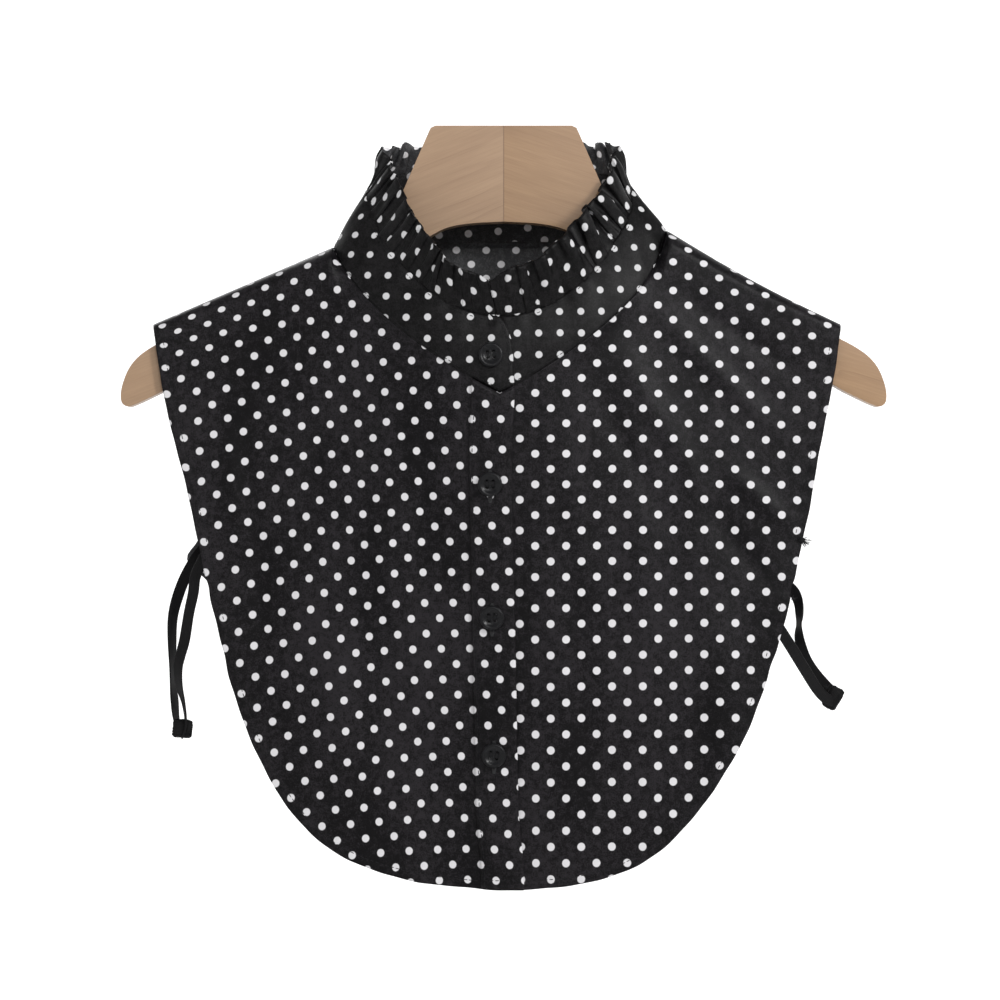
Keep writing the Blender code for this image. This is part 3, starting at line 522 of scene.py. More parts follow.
def top_drop(angle):
    """Drop of the stand's upper edge: low at the front, rising round the sides."""
    rise = 1.0 - np.exp(-((turned_from_front(angle) / TOP_RISE_ANGLE) ** TOP_RISE_POWER))
    return TOP_FRONT_DROP + (TOP_BACK_DROP - TOP_FRONT_DROP) * rise


def base_ring(angle, outward=0.0):
    x, y = ring_in_plan(angle, BASE_HALF_WIDTH, BASE_FRONT_DEPTH, BASE_BACK_DEPTH, outward)
    return np.stack(np.broadcast_arrays(x, y, -base_drop(angle)), axis=-1)


def top_ring(angle, outward=0.0):
    x, y = ring_in_plan(angle, TOP_HALF_WIDTH, TOP_FRONT_DEPTH, TOP_BACK_DEPTH, outward)
    return np.stack(np.broadcast_arrays(x, y, -top_drop(angle)), axis=-1)


def stand_relief(angle, height):
    """Soft unevenness of the stand, and small puckers under the ruffle's gathers."""
    soft = np.sin(0.31 * angle + 2.2 * height) * np.sin(0.117 * angle + 1.0) + 0.5 * np.sin(0.19 * angle - 3.0 * height)
    puckers = np.sin(0.83 * angle + 0.9 * np.sin(0.21 * angle)) * smooth_step(0.55, 1.0, height)
    return (STAND_SOFT_RELIEF * soft + STAND_GATHER_RELIEF * puckers) * smooth_step(0.0, 0.35, height)


def stand_point(angle, height, proud=0.0):
    """Points on the stand: height runs from 0 at the neck seam to 1 at its upper edge."""
    relief = STAND_BULGE * 4.0 * height * (1.0 - height) + stand_relief(angle, height)
    outward = lap_offset(angle) + relief + proud
    share = np.expand_dims(height + 0.0 * angle, -1)
    return base_ring(angle, outward) * (1.0 - share) + top_ring(angle, outward) * share


def drawn_back(angle, height):
    """The angle of a column of the stand once its two ends are rounded off."""
    share = np.clip((height - ROUNDING_STARTS) / (1.0 - ROUNDING_STARTS), 0.0, 1.0)
    inset = TOP_END_INSET * (1.0 - np.sqrt(1.0 - share * share))
    from_upper = np.clip(1.0 - (angle - UPPER_END) / END_SPAN, 0.0, 1.0)
    from_under = np.clip(1.0 - (UNDER_END - angle) / END_SPAN, 0.0, 1.0)
    return angle + inset * (from_upper - from_under)


def through(points, steps):
    """Points on a smooth curve through the given ones, with some steps between each two."""
    rows = [np.array(p, float) for p in points]
    rows = [2.0 * rows[0] - rows[1], *rows, 2.0 * rows[-1] - rows[-2]]
    found = []
    for before, start, end, after in zip(rows, rows[1:], rows[2:], rows[3:]):
        for step in range(steps):
            t = step / steps
            bend = 2.0 * before - 5.0 * start + 4.0 * end - after
            twist = -before + 3.0 * start - 3.0 * end + after
            found.append(0.5 * (2.0 * start + (end - before) * t + bend * t * t + twist * t ** 3))
    found.append(rows[-2])
    return np.array(found)


def unit(ways):
    """The same directions, each of length one."""
    return ways / np.linalg.norm(ways, axis=-1)[..., None]


def length_along(line):
    """For each point of a line, the length of the line up to it."""
    steps = np.linalg.norm(np.diff(line, axis=0), axis=1)
    return np.concatenate(([0.0], np.cumsum(steps)))


def at_shares(line, shares):
    """Points on a line of points, at shares of its length."""
    along = length_along(line)
    along = along / along[-1]
    return np.stack([np.interp(shares, along, line[:, k]) for k in range(line.shape[1])], axis=1)


def even_points(line, pitch):
    """Points on a line of points, about a pitch apart."""
    count = max(2, int(round(length_along(line)[-1] / pitch)))
    return at_shares(line, np.linspace(0.0, 1.0, count + 1))


def whole_outline():
    """The outline (x, drop) from the right shoulder tip round the hem to the left tip, and its corners."""
    right = [(-reach, drop) for drop, reach, _ in OUTLINE]
    left = [(reach, drop) for drop, _, reach in OUTLINE]
    line = through([*right, (HEM_MIDDLE_X, HEM_DROP), *reversed(left)], SPLINE_STEPS)
    corner = CORNER_ROW * SPLINE_STEPS
    return line, corner, len(line) - 1 - corner


OUTLINE_POINTS, RIGHT_CORNER, LEFT_CORNER = whole_outline()


def inset_in_outline(x, drop):
    """How far places lie inside the panels' outline, and how far along it their nearest point is."""
    ends = OUTLINE_POINTS
    along = length_along(ends)
    flat_x = np.ravel(x)
    flat_drop = np.ravel(drop)
    nearest = np.full(flat_x.shape, 1.0)
    where = np.zeros(flat_x.shape)
    for start, end, before in zip(ends, ends[1:], along):
        way = end - start
        size = np.linalg.norm(way)
        share = ((flat_x - start[0]) * way[0] + (flat_drop - start[1]) * way[1]) / size ** 2
        share = np.clip(share, 0.0, 1.0)
        far = np.hypot(flat_x - start[0] - share * way[0], flat_drop - start[1] - share * way[1])
        closer = far < nearest
        nearest = np.where(closer, far, nearest)
        where = np.where(closer, before + share * size, where)
    return nearest.reshape(np.shape(x)), where.reshape(np.shape(x))


def placket_bow(drop):
    """How far the placket hangs to the wearer's right of a straight line, at a drop."""
    return PLACKET_BOW * smooth_step(*PLACKET_BOW_GROWS, drop) * (1.0 - smooth_step(*PLACKET_BOW_FADES, drop))


def placket_middle(drop):
    """x of the placket's middle line at a drop."""
    share = (drop - BASE_FRONT_DROP) / (HEM_DROP - BASE_FRONT_DROP)
    return PLACKET_TOP_X + (PLACKET_BOTTOM_X - PLACKET_TOP_X) * share - placket_bow(drop)


def folds_relief(x, drop, folds):
    """What the soft folds add to the cloth's distance from the hanger."""
    total = 0.0
    share = (drop - BASE_SIDE_DROP) / (HEM_DROP - BASE_SIDE_DROP)
    for at_neck, at_hem, half_width, depth, starts, full in folds:
        middle = at_neck + (at_hem - at_neck) * share
        total = total + depth * np.exp(-(((x - middle) / half_width) ** 2)) * smooth_step(starts, full, drop)
    return total


def creases_relief(x, drop, creases):
    """What the creases add: each is soft across and dies away towards its two ends."""
    total = 0.0
    for from_x, from_drop, to_x, to_drop, half_width, depth in creases:
        way_x = to_x - from_x
        way_drop = to_drop - from_drop
        size = math.hypot(way_x, way_drop)
        along = ((x - from_x) * way_x + (drop - from_drop) * way_drop) / size ** 2
        across = ((x - from_x) * way_drop - (drop - from_drop) * way_x) / size
        fade = np.sin(math.pi * np.clip(along, 0.0, 1.0)) ** 1.3
        total = total + depth * fade * np.exp(-((across / half_width) ** 2))
    return total


def hem_relief(x, drop):
    """The doubled cloth of the narrow hem, its stitch line's dimple and its puckers."""
    inset, along = inset_in_outline(x, drop)
    doubled = HEM_RISE * (1.0 - smooth_step(HEM_WIDTH - 0.0006, HEM_WIDTH + 0.0008, inset))
    dimple = HEM_DIMPLE * np.exp(-(((inset - HEM_STITCH_IN) / HEM_DIMPLE_WIDTH) ** 2))
    beat = along / PUCKER_LENGTH + 0.35 * np.sin(along / 0.031) + 0.25 * np.sin(along / 0.0117)
    pucker = PUCKER_DEPTH * np.sin(2.0 * math.pi * beat) * np.exp(-(((inset - HEM_STITCH_IN) / 0.0035) ** 2))
    return doubled - dimple + pucker


def hanging_off(x, drop, front):
    """How far the hanging cloth is from the hanger's middle plane."""
    down = np.clip((drop - BASE_FRONT_DROP) / (HEM_DROP - BASE_FRONT_DROP), 0.0, 1.0)
    at_neck = FRONT_NECK_OFF if front else BACK_NECK_OFF
    at_hem = FRONT_HEM_OFF if front else BACK_HEM_OFF
    middle = at_neck + (at_hem - at_neck) * down
    edge = EDGE_OFF + (EDGE_HEM_OFF - EDGE_OFF) * down
    spread = NECK_SPREAD + (HEM_SPREAD - NECK_SPREAD) * down
    across = np.exp(-(((x - NECK_X) / spread) ** 2))
    folds = folds_relief(x, drop, FRONT_FOLDS if front else BACK_FOLDS)
    creases = creases_relief(x, drop, FRONT_CREASES if front else BACK_CREASES)
    return edge + (middle - edge) * across + folds + creases


def front_lift(x, drop, upper):
    """The two fronts part by one lap step where they cross, and join one surface further out."""
    beyond = np.abs(x - placket_middle(drop)) - 0.5 * PLACKET_WIDTH
    share = 1.0 - smooth_step(LAP_FADE_STARTS, LAP_FADE_ENDS, beyond)
    return 0.5 * LAP_STEP * share * (1.0 if upper else -1.0)


def neck_points(first, last, side):
    """The panels' neck edge, just below the stand: rows of x, drop, y and the depth of its turn."""
    count = max(2, int(round(abs(last - first) / NECK_COLUMN_STEP)))
    angles = np.linspace(first, last, count + 1)
    turned = np.radians(turned_from_front(angles))
    corner = np.sin(turned) ** 2
    ring = base_ring(angles * side, SIDE_SEAM_OUT * corner)
    drop = -ring[:, 2] + NECK_SEAM_DOWN + SIDE_SEAM_DOWN * corner
    turn = SHOULDER_TURN + NECK_TURN * np.abs(np.cos(turned))
    return np.stack([ring[:, 0], drop, ring[:, 1], turn], axis=1)


def shoulder_points(side):
    """The shoulder seam, from just past the neck point to the tip, its columns closer at the armhole."""
    start = base_ring(np.array(90.0 * side), SIDE_SEAM_OUT)
    start_drop = float(base_drop(90.0 * side)) + NECK_SEAM_DOWN + SIDE_SEAM_DOWN
    drop, reach_right, reach_left = OUTLINE[0]
    tip_x = -reach_right if side > 0 else reach_left
    size = math.hypot(tip_x - start[0], drop - start_drop)
    count = int(round((size - HEM_ROWS[-1]) / SHOULDER_COLUMN_PITCH))
    even = np.linspace(0.0, 1.0 - HEM_ROWS[-1] / size, count + 1)[1:-1]
    close = 1.0 - np.array(HEM_ROWS[::-1]) / size
    share = np.concatenate((even, close))
    turn = SHOULDER_TURN + (TIP_TURN - SHOULDER_TURN) * share
    x = start[0] + (tip_x - start[0]) * share
    hollow = (SHOULDER_HOLLOW_LEFT if side < 0 else 0.0) * np.sin(math.pi * share)
    return np.stack([x, start_drop + (drop - start_drop) * share + hollow, np.zeros(len(share)), turn], axis=1)


def upper_edge(front):
    """The whole upper edge of the front or back, from the wearer's right to the left, for reading at any x."""
    angles = (-90.0, 90.0) if front else (270.0, 90.0)
    neck = neck_points(angles[0], angles[1], 1.0)[::-1]
    return np.concatenate((shoulder_points(1.0)[::-1], neck, shoulder_points(-1.0)))


UPPER_EDGES = {True: upper_edge(True), False: upper_edge(False)}


def wavered(grid, pulls):
    """The same places with the outline's edge wavering in and out."""
    x = grid[..., 0]
    drop = grid[..., 1]
    inset, along = inset_in_outline(x, drop)
    wave = np.sin(along / 0.0112) + 0.6 * np.sin(along / 0.0065 + 1.3) + 0.5 * np.sin(along / 0.0031)
    pull = 0.5 * WAVER_DEPTH * wave
    for pull_x, pull_drop, depth, half_length in pulls:
        near = ((x - pull_x) ** 2 + (drop - pull_drop) ** 2) / half_length ** 2
        pull = pull + depth * np.exp(-near)
    inward = unit(np.stack([PANEL_MIDDLE[0] - x, PANEL_MIDDLE[1] - drop], axis=-1))
    near_neck = smooth_step(BASE_SIDE_DROP, BASE_FRONT_DROP, drop + 0.3 * np.abs(x))
    share = pull * np.exp(-inset / WAVER_REACH) * near_neck
    return grid + inward * share[..., None]


def panel_off(x, drop, front, lift=0.0):
    """How far a panel's cloth is from the hanger's middle plane, its turn at the upper edge included."""
    edge = UPPER_EDGES[front]
    edge_drop = np.interp(x, edge[:, 0], edge[:, 1])
    edge_off = np.maximum(np.abs(np.interp(x, edge[:, 0], edge[:, 2])), 0.5 * SEAM_GAP)
    turn = np.interp(x, edge[:, 0], edge[:, 3])
    left = 1.0 - np.clip((drop - edge_drop) / turn, 0.0, 1.0)
    share = np.sqrt(1.0 - left * left)
    return edge_off * (1.0 - share) + hanging_off(x, drop, front) * share + lift


def front_point(x, drop, upper, proud=0.0):
    """Points of a front's cloth, moved out from its middle by a distance."""
    off = panel_off(x, drop, True, front_lift(x, drop, upper)) + hem_relief(x, drop) + proud
    return np.stack(np.broadcast_arrays(x, -off, -drop), axis=-1)


def back_point(x, drop, proud=0.0):
    off = panel_off(x, drop, False) + hem_relief(x, drop) + proud
    return np.stack(np.broadcast_arrays(x, off, -drop), axis=-1)


def with_allowance(points, lattice, on_neck, side):
    """The panel's rows with its seam allowances above them, turned in behind the stand and at the shoulder."""
    edge = points[0]
    ahead = np.gradient(edge, axis=0)
    inward = np.stack([-ahead[:, 1], ahead[:, 0], np.zeros(len(edge))], axis=1)
    inward /= np.linalg.norm(inward, axis=1)[:, None]
    inward *= np.sign(np.sum(inward * (np.array([NECK_X, 0.0, 0.0]) - edge), axis=1))[:, None]
    up = np.array([0.0, 0.0, 1.0])
    from_corner = np.clip((BASE_HALF_WIDTH - np.abs(edge[:, 0] - NECK_X)) / ALLOWANCE_FADES, 0.0, 1.0)[:, None]
    extra = []
    for (neck_in, neck_up), (seam_in, seam_down) in zip(NECK_ALLOWANCE, SHOULDER_ALLOWANCE):
        behind = edge + inward * neck_in + up * (neck_up * from_corner)
        below = edge - up * seam_down
        below[:, 1] = side * seam_in
        extra.append(np.where(on_neck[:, None], behind, below))
    rows = np.concatenate((np.array(extra), points))
    rises = np.array([allowance[1] for allowance in NECK_ALLOWANCE])[:, None] / DOT_PITCH
    above = np.stack([np.tile(lattice[0, :, 0], (len(rises), 1)), lattice[0, :, 1] + rises], axis=-1)
    return rows, np.concatenate((above, lattice))


def row_shares(length):
    """A panel's rows as shares of its length: close at the shoulder's turn and along the hem."""
    turn = np.array(TURN_ROWS) / length
    hem = 1.0 - np.array(HEM_ROWS[::-1]) / length
    count = int(round((hem[0] - turn[-1]) * length / HANGING_ROW_PITCH))
    return np.concatenate((turn, np.linspace(turn[-1], hem[0], count + 1)[1:-1], hem))


def filled_patch(top, bottom, first_side, last_side, across, down):
    """A grid of (x, drop) between four edges that meet at its corners."""
    u = across[None, :, None]
    v = down[:, None, None]
    sides = (1 - u) * first_side[:, None] + u * last_side[:, None]
    ends = (1 - v) * top[None] + v * bottom[None]
    corners = (1 - v) * ((1 - u) * top[0] + u * top[-1]) + v * ((1 - u) * bottom[0] + u * bottom[-1])
    return sides + ends - corners


def front_grid(side, upper):
    """The grid of (x, drop) over one front, rows running down from its neck and shoulder."""
    first = UPPER_END if upper else 360.0 - UNDER_END
    edge = np.concatenate((neck_points(first, 90.0, side), shoulder_points(side)))
    top = edge[:, :2]
    hem_x = placket_middle(HEM_DROP) + 0.5 * PLACKET_WIDTH * side
    if side > 0:
        armhole = OUTLINE_POINTS[: RIGHT_CORNER + 1]
        hem = OUTLINE_POINTS[RIGHT_CORNER:]
        hem = hem[hem[:, 0] < hem_x]
    else:
        armhole = OUTLINE_POINTS[LEFT_CORNER:][::-1]
        hem = OUTLINE_POINTS[: LEFT_CORNER + 1][::-1]
        hem = hem[hem[:, 0] > hem_x]
    hem = np.vstack([hem, (hem_x, hem[-1, 1])])[::-1]
    across = length_along(top) / length_along(top)[-1]
    down = row_shares(length_along(armhole)[-1])
    first_side = at_shares(np.array([top[0], hem[0]]), down)
    first_side[:, 0] -= placket_bow(first_side[:, 1])
    return filled_patch(top, at_shares(hem, across), first_side, at_shares(armhole, down), across, down)


def back_grid():
    """The grid of (x, drop) over the back, from the wearer's right to the left."""
    top = UPPER_EDGES[False][:, :2]
    across = length_along(top) / length_along(top)[-1]
    armhole = OUTLINE_POINTS[: RIGHT_CORNER + 1]
    down = row_shares(length_along(armhole)[-1])
    bottom = at_shares(OUTLINE_POINTS[RIGHT_CORNER : LEFT_CORNER + 1], across)
    last_side = at_shares(OUTLINE_POINTS[LEFT_CORNER:][::-1], down)
    return filled_patch(top, bottom, at_shares(armhole, down), last_side, across, down)


def rows_passed(drop, pitch, growth):
    """How many rows of dots lie above a drop; the rows lie further apart towards the hem."""
    return np.log1p(growth * (drop - ROW_PITCH_DROP) / pitch) / growth


def columns_passed(x, pitches):
    """How many columns of dots lie between the first x of a table of pitches and another x."""
    places = np.linspace(pitches[0][0], pitches[-1][0], 200)
    passed = np.cumsum(np.gradient(places) / np.interp(places, *np.array(pitches).T))
    return np.interp(x, places, passed)


def taken_up(x, drop, most, reach, starts):
    """Cloth taken up by the slope over the shoulder, most of it at the seam and towards the tip."""
    tip_drop, tip_right, tip_left = OUTLINE[0]
    tip = 0.5 * (tip_right + tip_left)
    across = np.clip((np.abs(x) - BASE_HALF_WIDTH) / (tip - BASE_HALF_WIDTH), 0.0, 1.0)
    seam_drop = BASE_SIDE_DROP + (tip_drop - BASE_SIDE_DROP) * across
    left = 1.0 - np.clip((drop - seam_drop) / reach, 0.0, 1.0)
    return most * np.clip((np.abs(x) - starts) / (tip - starts), 0.0, 1.1) * left * left


def left_lattice(x, drop):
    """The lattice on the wearer's left front: its rows are level."""
    near = np.exp(-np.abs(x - LEFT_DRIFT_X) / LEFT_DRIFT_REACH)
    x = x - LEFT_DRIFT * near * smooth_step(*LEFT_DRIFT_DROPS, drop)
    down = rows_passed(drop - taken_up(x, drop, *LEFT_TAKEN_UP), LEFT_ROW_PITCH, LEFT_ROW_GROWTH)
    start = rows_passed(LEFT_DOT[1], LEFT_ROW_PITCH, LEFT_ROW_GROWTH)
    across = columns_passed(x, LEFT_PITCH_ACROSS) - columns_passed(LEFT_DOT[0], LEFT_PITCH_ACROSS)
    return across, start - down


def back_lattice(x, drop):
    return left_lattice(x + BACK_DOTS_SHIFT[0], drop - BACK_DOTS_SHIFT[1])


def right_lattice(x, drop):
    """The lattice on the wearer's right front: level near the placket, and falling away to the armhole."""
    start = rows_passed(RIGHT_DOT[1], RIGHT_ROW_PITCH, RIGHT_ROW_GROWTH)
    down = rows_passed(drop, RIGHT_ROW_PITCH, RIGHT_ROW_GROWTH) - start
    drawn = SHOULDER_DRAW * smooth_step(*SHOULDER_DRAW_X, x) * (1.0 - smooth_step(*SHOULDER_DRAW_DROPS, drop))
    drawn = drawn - taken_up(x, drop, *RIGHT_TAKEN_UP)
    for _ in range(2):
        upright = x - RIGHT_COLUMN_LEAN * down
        beyond = RIGHT_RISE_STARTS - upright
        fall = RIGHT_RISE * RIGHT_RISE_SOFT * np.logaddexp(0.0, beyond / RIGHT_RISE_SOFT) - drawn
        down = rows_passed(drop - fall, RIGHT_ROW_PITCH, RIGHT_ROW_GROWTH) - start
    across = columns_passed(upright, RIGHT_PITCH_ACROSS) - columns_passed(RIGHT_DOT[0], RIGHT_PITCH_ACROSS)
    return across, -down


def turned_lattice(grid, points, lattice):
    """The lattice with the cloth that goes over the shoulder added, so that dots keep their shape there."""
    flat = points[..., [0, 2]]
    steps = np.linalg.norm(np.diff(points, axis=0), axis=-1) - np.linalg.norm(np.diff(flat, axis=0), axis=-1)
    below = np.cumsum(steps[::-1], axis=0)[::-1]
    extra = np.vstack([below, np.zeros((1, below.shape[1]))]) / DOT_PITCH
    across, up = lattice(grid[..., 0], grid[..., 1])
    return np.stack([across, up + extra], axis=-1)


def grid_mesh(name, points, lattice, flip):
    """An open grid of faces through rows of points, with the dots' lattice as its UV map."""
    rows, columns = points.shape[:2]
    mesh = bpy.data.meshes.new(name)
    first = (np.arange(rows - 1)[:, None] * columns + np.arange(columns - 1)[None, :]).ravel()
    faces = np.stack([first, first + 1, first + columns + 1, first + columns], axis=1)
    if flip:
        faces = faces[:, ::-1]
    mesh.from_pydata(points.reshape(-1, 3).tolist(), [], faces.tolist())
    mesh.update()
    layer = mesh.uv_layers.new(name="lattice")
    corners = np.empty(len(mesh.loops), dtype=np.int64)
    mesh.loops.foreach_get("vertex_index", corners)
    layer.data.foreach_set("uv", lattice.reshape(-1, 2)[corners].ravel())
    mesh.shade_smooth()
    return mesh


def add_piece(name, mesh, looks, replaced=()):
    """A piece of the scene that rides on the model's body."""
    piece = bpy.data.objects.new(name, mesh)
    bpy.context.scene.collection.objects.link(piece)
    mesh.materials.clear()
    for look in looks:
        mesh.materials.append(look)
    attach(piece, "root")
    if replaced:
        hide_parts(*replaced)
    return piece


def cloth_piece(name, points, lattice, flip, wall, node=None, look="cloth"):
    """A piece of the dotted cloth: a thin shell, its inner faces in a paler copy of the cloth with painted light."""
    mesh = grid_mesh(name, points, lattice, flip)
    piece = add_piece(name, mesh, (MATERIALS[look], MATERIALS["cloth_inside_lit"]), (node,) if node else ())
    shell = piece.modifiers.new("wall", "SOLIDIFY")
    shell.thickness = wall
    shell.offset = 0.0
    shell.use_even_offset = False
    shell.material_offset = 1
    shell.material_offset_rim = 0
    return piece


def nodes_of(name):
    """A new material with an empty tree but for its output and shader."""
    made = bpy.data.materials.new(name)
    made.use_nodes = True
    tree = made.node_tree
    return made, tree, tree.nodes["Principled BSDF"]


def maths(tree, operation, first, second=None, third=None, clamp=False):
    """A Math node with sockets or numbers as its inputs, returning its output."""
    node = tree.nodes.new("ShaderNodeMath")
    node.operation = operation
    node.use_clamp = clamp
    for socket, value in zip(node.inputs, (first, second, third)):
        if value is None:
            continue
        if isinstance(value, (int, float)):
            socket.default_value = value
        else:
            tree.links.new(value, socket)
    return node.outputs[0]


def vector_maths(tree, operation, first, second=None):
    node = tree.nodes.new("ShaderNodeVectorMath")
    node.operation = operation
    for socket, value in zip(node.inputs, (first, second)):
        if value is None:
            continue
        if isinstance(value, (tuple, list)):
            socket.default_value = value
        else:
            tree.links.new(value, socket)
    return node.outputs["Value"] if operation == "LENGTH" else node.outputs["Vector"]


def noise(tree, vector, scale, detail=2.0, roughness=0.5):
    """A noise texture's value on a vector."""
    node = tree.nodes.new("ShaderNodeTexNoise")
    node.inputs["Scale"].default_value = scale
    node.inputs["Detail"].default_value = detail
    node.inputs["Roughness"].default_value = roughness
    tree.links.new(vector, node.inputs["Vector"])
    return node.outputs[0]


def mixed(tree, share, first, second):
    """A colour between two, which are colours or sockets."""
    node = tree.nodes.new("ShaderNodeMix")
    node.data_type = "RGBA"
    if isinstance(share, (int, float)):
        node.inputs["Factor"].default_value = share
    else:
        tree.links.new(share, node.inputs["Factor"])
    for socket, value in ((node.inputs[6], first), (node.inputs[7], second)):
        if isinstance(value, tuple):
            socket.default_value = (*value, 1.0)
        else:
            tree.links.new(value, socket)
    return node.outputs[2]


def bump(tree, height, strength, distance, under=None):
    node = tree.nodes.new("ShaderNodeBump")
    node.inputs["Strength"].default_value = strength
    node.inputs["Distance"].default_value = distance
    tree.links.new(height, node.inputs["Height"])
    if under is not None:
        tree.links.new(under, node.inputs["Normal"])
    return node.outputs["Normal"]


def dot_distance(tree, lattice, wobble):
    """Distance to the nearest dot's middle, in pitches, on the lattice and its centres."""
    moved = vector_maths(tree, "ADD", lattice, (0.5, 0.5, 0.0))
    cell = vector_maths(tree, "FRACTION", moved)
    centred = vector_maths(tree, "SUBTRACT", cell, (0.5, 0.5, 0.0))
    corner = vector_maths(tree, "ABSOLUTE", centred)
    middle = vector_maths(tree, "SUBTRACT", corner, (0.5, 0.5, 0.0))
    nearest = maths(tree, "MINIMUM", vector_maths(tree, "LENGTH", corner), vector_maths(tree, "LENGTH", middle))
    return maths(tree, "ADD", nearest, maths(tree, "MULTIPLY", maths(tree, "SUBTRACT", wobble, 0.5), 0.016))


def dotted_cotton(name, black, black_sheen_and_mottled, white, radius=DOT_RADIUS):
    """Black cotton with printed white dots, on a UV map that counts the dots' pitches; long streaks of painted sheen
    and random mottling pale its black ground.
    """
    made, tree, shader = nodes_of(name)
    uv = tree.nodes.new("ShaderNodeUVMap")
    uv.uv_map = "lattice"
    lattice = uv.outputs["UV"]
    across = vector_maths(tree, "MULTIPLY", lattice, (9.0, 230.0, 0.0))
    along = vector_maths(tree, "MULTIPLY", lattice, (230.0, 9.0, 0.0))
    weft = noise(tree, across, 1.0, 3.0)
    warp = noise(tree, along, 1.0, 3.0)
    threads = maths(tree, "MAXIMUM", weft, warp)
    place = tree.nodes.new("ShaderNodeTexCoord").outputs["Object"]
    # Painted sheen: long pale streaks in the ground colour stand for the soft shine along the folds; the mottling and
    # grain are random tone
    painted_sheen_streaks = noise(tree, vector_maths(tree, "MULTIPLY", place, (34.0, 34.0, 12.0)), 1.0, 3.0, 0.5)
    mottling = noise(tree, place, 330.0, 4.0, 0.7)
    grain = noise(tree, place, 1500.0, 2.0, 0.6)
    speckled = maths(tree, "MULTIPLY_ADD", mottling, 3.2, maths(tree, "MULTIPLY_ADD", grain, 3.0, -3.9))
    cloud = maths(tree, "MULTIPLY_ADD", painted_sheen_streaks, 2.4, speckled, clamp=True)
    wobble = noise(tree, lattice, 26.0, 2.0)
    distance = dot_distance(tree, lattice, wobble)
    edge = radius / DOT_PITCH
    dot = tree.nodes.new("ShaderNodeMapRange")
    dot.interpolation_type = "SMOOTHSTEP"
    dot.inputs["From Min"].default_value = edge - 0.014
    dot.inputs["From Max"].default_value = edge + 0.014
    dot.inputs["To Min"].default_value = 1.0
    dot.inputs["To Max"].default_value = 0.0
    tree.links.new(distance, dot.inputs["Value"])
    ground = mixed(tree, cloud, black, black_sheen_and_mottled)
    lift = maths(tree, "MULTIPLY_ADD", threads, 1.1, 0.42)
    scaled = tree.nodes.new("ShaderNodeVectorMath")
    scaled.operation = "SCALE"
    tree.links.new(ground, scaled.inputs[0])
    tree.links.new(lift, scaled.inputs["Scale"])
    shade = maths(tree, "MULTIPLY_ADD", threads, 0.30, 0.80)
    printed = tree.nodes.new("ShaderNodeVectorMath")
    printed.operation = "SCALE"
    printed.inputs[0].default_value = white
    tree.links.new(shade, printed.inputs["Scale"])
    colour = mixed(tree, dot.outputs[0], scaled.outputs["Vector"], printed.outputs["Vector"])
    tree.links.new(colour, shader.inputs["Base Color"])
    tree.links.new(maths(tree, "MULTIPLY_ADD", dot.outputs[0], 0.36, 0.44), shader.inputs["Roughness"])
    gloss = maths(tree, "MULTIPLY_ADD", dot.outputs[0], -0.03, 0.13)
    tree.links.new(gloss, shader.inputs["Specular IOR Level"])
    shader.inputs["Sheen Weight"].default_value = SHEEN
    shader.inputs["Sheen Roughness"].default_value = 0.45
    shader.inputs["Sheen Tint"].default_value = (0.75, 0.75, 0.80, 1.0)
    soft = bump(tree, noise(tree, place, 420.0, 3.0, 0.6), 0.14, 0.0003)
    fine = bump(tree, threads, 0.30, 0.00012, soft)
    tree.links.new(fine, shader.inputs["Normal"])
    return made


def thread_material(name, dark, light):
    """Sewing thread, twisted, a little glossier than the cloth."""
    made, tree, shader = nodes_of(name)
    place = tree.nodes.new("ShaderNodeTexCoord").outputs["Object"]
    twist = noise(tree, place, 3500.0, 1.0)
    tree.links.new(mixed(tree, twist, dark, light), shader.inputs["Base Color"])
    shader.inputs["Roughness"].default_value = 0.75
    shader.inputs["Specular IOR Level"].default_value = 0.2
    tree.links.new(bump(tree, twist, 0.5, 0.00008), shader.inputs["Normal"])
    return made


def button_material():
    """Black moulded resin, a little uneven in colour and gloss."""
    made, tree, shader = nodes_of("black_button")
    place = tree.nodes.new("ShaderNodeTexCoord").outputs["Object"]
    cloud = noise(tree, place, 900.0, 3.0)
    tree.links.new(mixed(tree, cloud, (0.004, 0.004, 0.005), (0.008, 0.008, 0.009)), shader.inputs["Base Color"])
    tree.links.new(maths(tree, "MULTIPLY_ADD", cloud, 0.18, 0.22), shader.inputs["Roughness"])
    shader.inputs["Specular IOR Level"].default_value = 0.22
    tree.links.new(bump(tree, cloud, 0.12, 0.0001), shader.inputs["Normal"])
    return made


def tape_material():
    """Black woven elastic, ribbed along its length."""
    made, tree, shader = nodes_of("black_elastic")
    uv = tree.nodes.new("ShaderNodeUVMap")
    uv.uv_map = "lattice"
    parts = tree.nodes.new("ShaderNodeSeparateXYZ")
    tree.links.new(uv.outputs["UV"], parts.inputs[0])
    ribs = maths(tree, "SINE", maths(tree, "MULTIPLY", parts.outputs["X"], 2.0 * math.pi / 0.00075))
    picks = maths(tree, "SINE", maths(tree, "MULTIPLY", parts.outputs["Y"], 2.0 * math.pi / 0.00055))
    weave = maths(tree, "MULTIPLY_ADD", picks, 0.35, ribs)
    share = maths(tree, "MULTIPLY_ADD", weave, 0.35, 0.5, clamp=True)
    tree.links.new(mixed(tree, share, (0.002, 0.002, 0.0025), (0.008, 0.0075, 0.008)), shader.inputs["Base Color"])
    shader.inputs["Roughness"].default_value = 0.60
    shader.inputs["Specular IOR Level"].default_value = 0.14
    tree.links.new(bump(tree, weave, 0.5, 0.00012), shader.inputs["Normal"])
    return made


